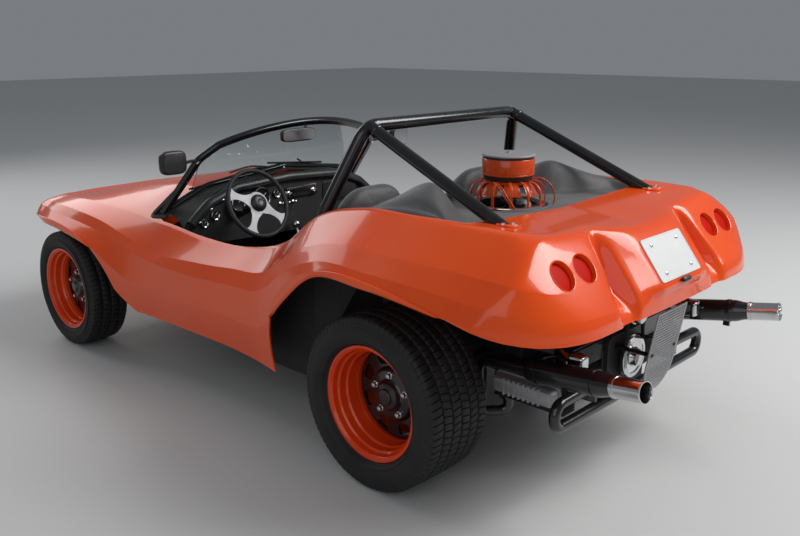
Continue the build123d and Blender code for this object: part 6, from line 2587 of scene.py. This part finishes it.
    def leads(self, shop: Workshop) -> None:
        """Thin leads that hang outside the straps.

        Args:
            shop: maker of pieces.
        """
        right, front = np.array([-0.686, 0.7275, 0]), np.array([0.7275, 0.686, 0])
        runs = (((96, 0, 1003), (130, 0, 1003), (166, 4, 975), (181, 6, 930), (176, 8, 905)),
                ((-60, 80, 1000), (-48, 118, 986), (-22, 142, 945), (6, 150, 912)),
                ((-52, 84, 1000), (-36, 124, 984), (-14, 146, 948), (12, 151, 911)),
                ((-95, 20, 1002), (-132, 36, 985), (-152, 46, 942), (-153, 60, 909)))
        leads = Skin()
        for run in runs:
            path = np.array([a * right + b * front + (0, aft(0), z) for a, b, z in run])
            leads.tube(smoothed(path, 7), 2.8, 8)
        shop.piece(leads, "cage_leads", Slot.CAGE, crease=60)


@dataclass
class TailGear:
    """What hangs behind the engine: belt guard, exhausts, tube bars, lamps and plate."""

    tail: TailFace
    guard: tuple = (655.0, 330.0, 105.0, 310.0)
    lean: float = math.atan(0.16)
    pitch: float = 10.6
    hole: float = 3.9
    tip_end: tuple = (512.0, 883.0, 540.0)
    pipe: tuple = (0.132, 1.0, 0.154)

    def build(self, shop: Workshop) -> None:
        """Make all parts.

        Args:
            shop: maker of pieces.
        """
        self.belt_guard(shop)
        self.exhausts(shop)
        self.tube_bars(shop)
        self.lamps(shop)
        self.plate(shop)

    def belt_guard(self, shop: Workshop) -> None:
        """Perforated sheet: each cell is a square with an eight-sided hole, inside a plain rolled edge.

        Args:
            shop: maker of pieces.
        """
        y0, z0, half, tall = self.guard
        u, v = np.array(LEFT), np.array([0, -math.sin(self.lean), -math.cos(self.lean)])
        normal = leaning(-self.lean)
        base = np.array([0, aft(y0), z0])
        columns = int(2 * (half - 8) / self.pitch)
        rows = int((tall - 12) / self.pitch)
        cx = (np.arange(columns) - (columns - 1) / 2) * self.pitch
        cy = -tall + 8 + (np.arange(rows) + 0.5) * self.pitch
        x, y = (g.ravel() for g in np.meshgrid(cx, cy))
        limit = np.where(y > -half, np.sqrt(np.maximum((half - 4)**2 - (y + half)**2, 0)), half)
        inside = np.hypot(np.abs(x) + self.pitch / 2, np.maximum(y + half, 0) + self.pitch / 2) < half - 2
        keep = ((y + self.pitch / 2) < -half) | inside
        x, y = x[keep & (limit > 0)], y[keep & (limit > 0)]
        ways = np.array([(1, 0), (1, 1), (0, 1), (-1, 1), (-1, 0), (-1, -1), (0, -1), (1, -1)])
        square, circle = self.pitch / 2 * ways, self.hole * unit(ways)
        loops = ((square, 0.0), (circle, 0.0), (circle, 2.0), (square, 2.0))
        cell = np.stack([np.column_stack([loop, np.full(8, depth)]) for loop, depth in loops])
        local = np.stack([x, y, 0 * x], -1)[:, None, None] + cell
        points = base + local[..., :1] * u + local[..., 1:2] * v + local[..., 2:] * normal
        sheet = Skin().grid(points, around=True).mesh("guard_mesh", 0.05, outward=False)
        shop.dress(sheet, Slot.ALLOY, Body.CHASSIS, ["belt_guard"], crease=30)
        edge = np.concatenate([np.array([(-half, -tall), (half, -tall), (half, -half)], float),
                               arc_through((half, -half), (0, 0), (-half, -half), np.linspace(0, 1, 33))[1:]])
        run = unit(np.roll(edge, -1, 0) - np.roll(edge, 1, 0))
        inward = -run[:, 1:] * u + run[:, :1] * v
        section = np.array([(0, -0.6), (11, -0.6), (11, 2.6), (0, 4)])
        rings = carried(laid(edge, base, u, v), inward, normal, section)
        border = Skin().grid(rings, around=True, along=True)
        arms = Skin()
        for x in (-80, 80):
            arms.tube([(x, aft(545.3), 480), (x, aft(680), 480)], 8, 20)
            arms.turned([(-2, 0), (-2, 6), (2.4, 6), (3.2, 4), (3.2, 0)], (x, aft(684), 480), normal, 20)
        shop.piece(border, "guard_edge", Slot.ALLOY, crease=40)
        shop.piece(arms, "guard_arms", Slot.PAINT, crease=40)

    def exhausts(self, shop: Workshop) -> None:
        """Header, black muffler with its bands and bright open tip, on both sides; a matte black disc inside
        each tip is soot and painted shade of the pipe's depth.

        Args:
            shop: maker of pieces.
        """
        ex, ey, ez = self.tip_end
        along = unit(np.array(self.pipe))
        end = np.array([ex, aft(ey), ez])
        start = end - along * 450
        for hand, side in (("left", 1), ("right", -1)):
            flip = np.array([side, 1, 1])
            pipe = (start * flip, along * flip, 48)
            can = Skin().turned([(0, 0), (0, 22), (3, 34), (10, 39.5), (22, 41), (292, 41), (302, 39),
                                 (322, 34), (346, 30.5), (352, 30), (352, 0)], *pipe)
            route = np.array([(368, aft(300), 315), (368, aft(300), 258), (440, aft(236), 258),
                              (443, aft(236), 455), start + along * 6]) * flip
            can.tube(rounded(route, (28, 30, 40), 8), 19, 24)
            for x in (38, 262):
                can.turned([(x, 40), (x, 43.5), (x + 14, 43.5), (x + 14, 40)], *pipe, ring=True)
            hang = (start + along * 262) * flip
            can.block(hang + (-5, -12, -60), hang + (5, 12, -38))
            can.turned([(0, 0), (0, 33), (9, 33), (9, 0)], (368 * side, aft(300), 311), UP, 24)
            shop.piece(can, f"muffler_{hand}", Slot.PAINT, replaces=[f"exhaust_{hand}"], crease=40)
            tip = Skin().turned([(346, 30.6), (347, 33), (440, 33), (446, 34.5), (450, 34), (450, 31.5),
                                 (444, 30), (362, 29.5), (360, 29.5)], *pipe, ring=True)
            tip.turned([(340, 31), (341, 35), (352, 35), (353, 31)], *pipe, ring=True)
            shop.piece(tip, f"exhaust_tip_{hand}", Slot.BRIGHT, crease=45)
            # Matte black disc across each tip's bore: soot, and painted shade that stands in for the dark
            # depth of the pipe
            inside = Skin().turned([(354, 0), (354, 29), (357, 29), (357, 0)], *pipe)
            shop.piece(inside, f"tip_soot_{hand}", Slot.TRIM, crease=45)

    def tube_bars(self, shop: Workshop) -> None:
        """Rear bar of one bent tube with its brackets, and the short front bar.

        Args:
            shop: maker of pieces.
        """
        half = [(250, aft(572), 402), (505, aft(578), 400), (505, aft(578), 318)]
        path = rounded(half + [(-x, y, z) for x, y, z in reversed(half)], 40, 10)
        bar = Skin().tube(path, 19, 28)
        for x in (-368, 368):
            bar.tube([(x, aft(548.5), 402), (x, aft(566), 402)], 10, 16)
            bar.turned([(0, 0), (0, 18), (5, 18), (5, 0)], (x, aft(549), 402), REARWARD, 20)
        shop.piece(bar, "rear_tube_bar", Slot.PAINT, replaces=["rear_bumper"], crease=45)
        place = aft(-2600)
        front = Skin().tube([(x, place, 430) for x in (-260, -255, 255, 260)], (16, 19, 19, 16), 28)
        for x in (-220, 220):
            front.tube([(x, place, 430), (x, aft(-2323.5), 430)], 12, 20)
        shop.piece(front, "front_tube_bar", Slot.PAINT, replaces=["front_bumper"], crease=45)

    def lamps(self, shop: Workshop) -> None:
        """Red lenses at the bottom of their cups, and the round headlamps.

        Args:
            shop: maker of pieces.
        """
        out = self.tail.outward()
        lens = Skin()
        for at in self.tail.lamps():
            lens.turned([(-25.5, 0), (-25.5, 47.5), (-17, 47.5), (-14.5, 46), (-13.2, 38), (-12.3, 24),
                         (-12, 0)], at, out, 48)
        shop.piece(lens, "tail_lenses", Slot.LENS, replaces=["tail_lamps"], crease=40)
        shells, bright, glass = Skin(), Skin(), Skin()
        for side in (-1, 1):
            at, ahead = (side * 505, aft(-2606), 570), (0, -1, 0)
            shells.turned([(-90, 0), (-88, 30), (-76, 52), (-50, 68), (-14, 74), (-12, 74), (-12, 0)],
                          at, ahead, 56)
            shells.block((side * 418.3, aft(-2561), 558), (side * 450, aft(-2521), 582))
            bright.turned([(-16, 70), (-14, 76), (-4, 76), (0, 73), (-1, 68), (-6, 66), (-8, 66), (-12, 50),
                           (-30, 20), (-32, 0), (-34, 0), (-30, 30), (-18, 62)], at, ahead, 56, ring=True)
            glass.turned([(-8, 0), (-8, 66), (-5, 66), (-2, 50), (0, 28), (0.6, 0)], at, ahead, 56)
        shop.piece(shells, "headlamp_shells", Slot.PAINT, crease=45)
        shop.piece(bright, "headlamp_reflectors", Slot.BRIGHT, replaces=["headlamps"], crease=45)
        shop.piece(glass, "headlamp_glass", Slot.GLASS, crease=45)

    def plate(self, shop: Workshop) -> None:
        """Blank plate with rounded corners and a raised border, its screws and its lamp.

        Args:
            shop: maker of pieces.
        """
        out = self.tail.outward()
        up = leaning(self.tail.LEAN + math.pi / 2)
        stand = self.tail.RISE * math.cos(self.tail.LEAN) + 0.6
        middle = self.tail.point(0, 796.0, stand)
        place = lambda outline, proud: laid(outline, middle + proud * out, LEFT, up)
        layers = ((276, 158, 12, 0), (276, 158, 12, 2.4), (274, 156, 11, 3), (268, 150, 9, 3),
                  (266, 148, 8.5, 1.8))
        plate = Skin().bar(np.array([place(loop_rect(w, h, r, 5), proud) for w, h, r, proud in layers]))
        shop.piece(plate, "blank_plate", Slot.PLATE, replaces=["number_plate"], crease=30)
        screws = Skin()
        for x, y in ((-88, 52), (88, 52), (-88, -52), (88, -52)):
            screws.turned([(0, 0), (0, 7), (3, 6.4), (5, 3), (5.4, 0)], place([(x, y)], 1.8)[0], out, 16)
        shop.piece(screws, "plate_screws", Slot.BRIGHT, crease=40)
        lamp = Skin().pillow(place([(0, -93)], 7)[0], (26, 9, 9), (LEFT, up, out), 0.5, 14, 24)
        shop.piece(lamp, "plate_lamp", Slot.PLASTIC, crease=60)


@dataclass
class Studio:
    """Pale floor, soft lamps and the camera at the photograph's viewing angle."""

    axle_y: float
    lens: float = 38.585
    position: tuple = (2651.3, 1932.9, 1523.2)
    direction: tuple = (-0.70256, -0.66254, -0.25970)
    roll: float = -0.0012

    def camera(self) -> None:
        """Place the camera."""
        data = bpy.data.cameras.new("camera")
        data.lens, data.sensor_width = self.lens, 36.0
        made = bpy.data.objects.new("camera", data)
        bpy.context.scene.collection.objects.link(made)
        x, y, z = self.position
        turn = Vector(self.direction).to_track_quat("-Z", "Y").to_matrix().to_4x4()
        made.matrix_world = (Matrix.Translation((x * MM, (y + self.axle_y) * MM, z * MM)) @ turn
                             @ Matrix.Rotation(self.roll, 4, "Z"))
        bpy.context.scene.camera = made

    def lamp(self, name: str, place: tuple, aim: tuple, size: float, power: float) -> None:
        """Add a square soft lamp that faces a point.

        Args:
            name: name of the lamp.
            place: where it hangs, in metres.
            aim: the point that it faces.
            size: width of its face.
            power: watts.
        """
        data = bpy.data.lights.new(name, "AREA")
        data.shape, data.size, data.energy = "SQUARE", size, power
        made = bpy.data.objects.new(name, data)
        bpy.context.scene.collection.objects.link(made)
        made.location = place
        made.rotation_euler = (Vector(aim) - Vector(place)).to_track_quat("-Z", "Y").to_euler()

    def build(self) -> None:
        """Make floor, world, lamps and camera."""
        graph = Graph("floor_pale")
        shade = graph.noise(1.2, 3.0)
        bpy.ops.mesh.primitive_plane_add(size=60)
        floor = bpy.context.object
        floor.name = "floor"
        pale = graph.mix(shade * 0.1, (0.62, 0.62, 0.61), (0.56, 0.56, 0.56))
        floor.data.materials.append(graph.finish(pale, 0.7))
        world = bpy.data.worlds.new("sky")
        world.use_nodes = True
        tree = world.node_tree
        tree.nodes["Background"].inputs[0].default_value = (0.80, 0.85, 0.92, 1)
        tree.nodes["Background"].inputs[1].default_value = 0.24
        bpy.context.scene.world = world
        self.lamp("key", (-3.4, 4.4, 5.6), (0, 0.2, 0.5), 4.2, 470)
        self.lamp("fill", (6.5, 3.6, 3.6), (0, 0, 0.5), 5.5, 90)
        self.lamp("front", (0.5, -6.5, 4.5), (0, 0, 0.5), 4.5, 130)
        self.camera()
        bpy.context.scene.view_settings.view_transform = "Standard"


def main() -> None:
    """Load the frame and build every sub-assembly in order."""
    logging.basicConfig(level=logging.INFO, format="%(name)s %(message)s")
    for old in list(bpy.data.objects):
        bpy.data.objects.remove(old)
    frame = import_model()
    finishes = Finishes()
    shop = Workshop(finishes)
    slots = {row["node"]: row["material_slot"] for row in frame["record"]["subparts"]}
    for name, node in frame["nodes"].items():
        node.data.materials.clear()
        node.data.materials.append(finishes.get(Slot(slots[name])))
    wheel_low, wheel_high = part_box("tyre_rear_left")
    axle_y = (wheel_low.y + wheel_high.y) / 2 / MM
    form = BodyForm()
    tail = TailFace()
    for part in (BodyShell(form, tail), Wheels(), RollBar(form), Windscreen(form), Mirrors(), Cabin(),
                 SoftGoods(), Engine(), Intake(), TailGear(tail)):
        part.build(shop)
    Studio(axle_y).build()


if __name__ == "__main__":
    main()
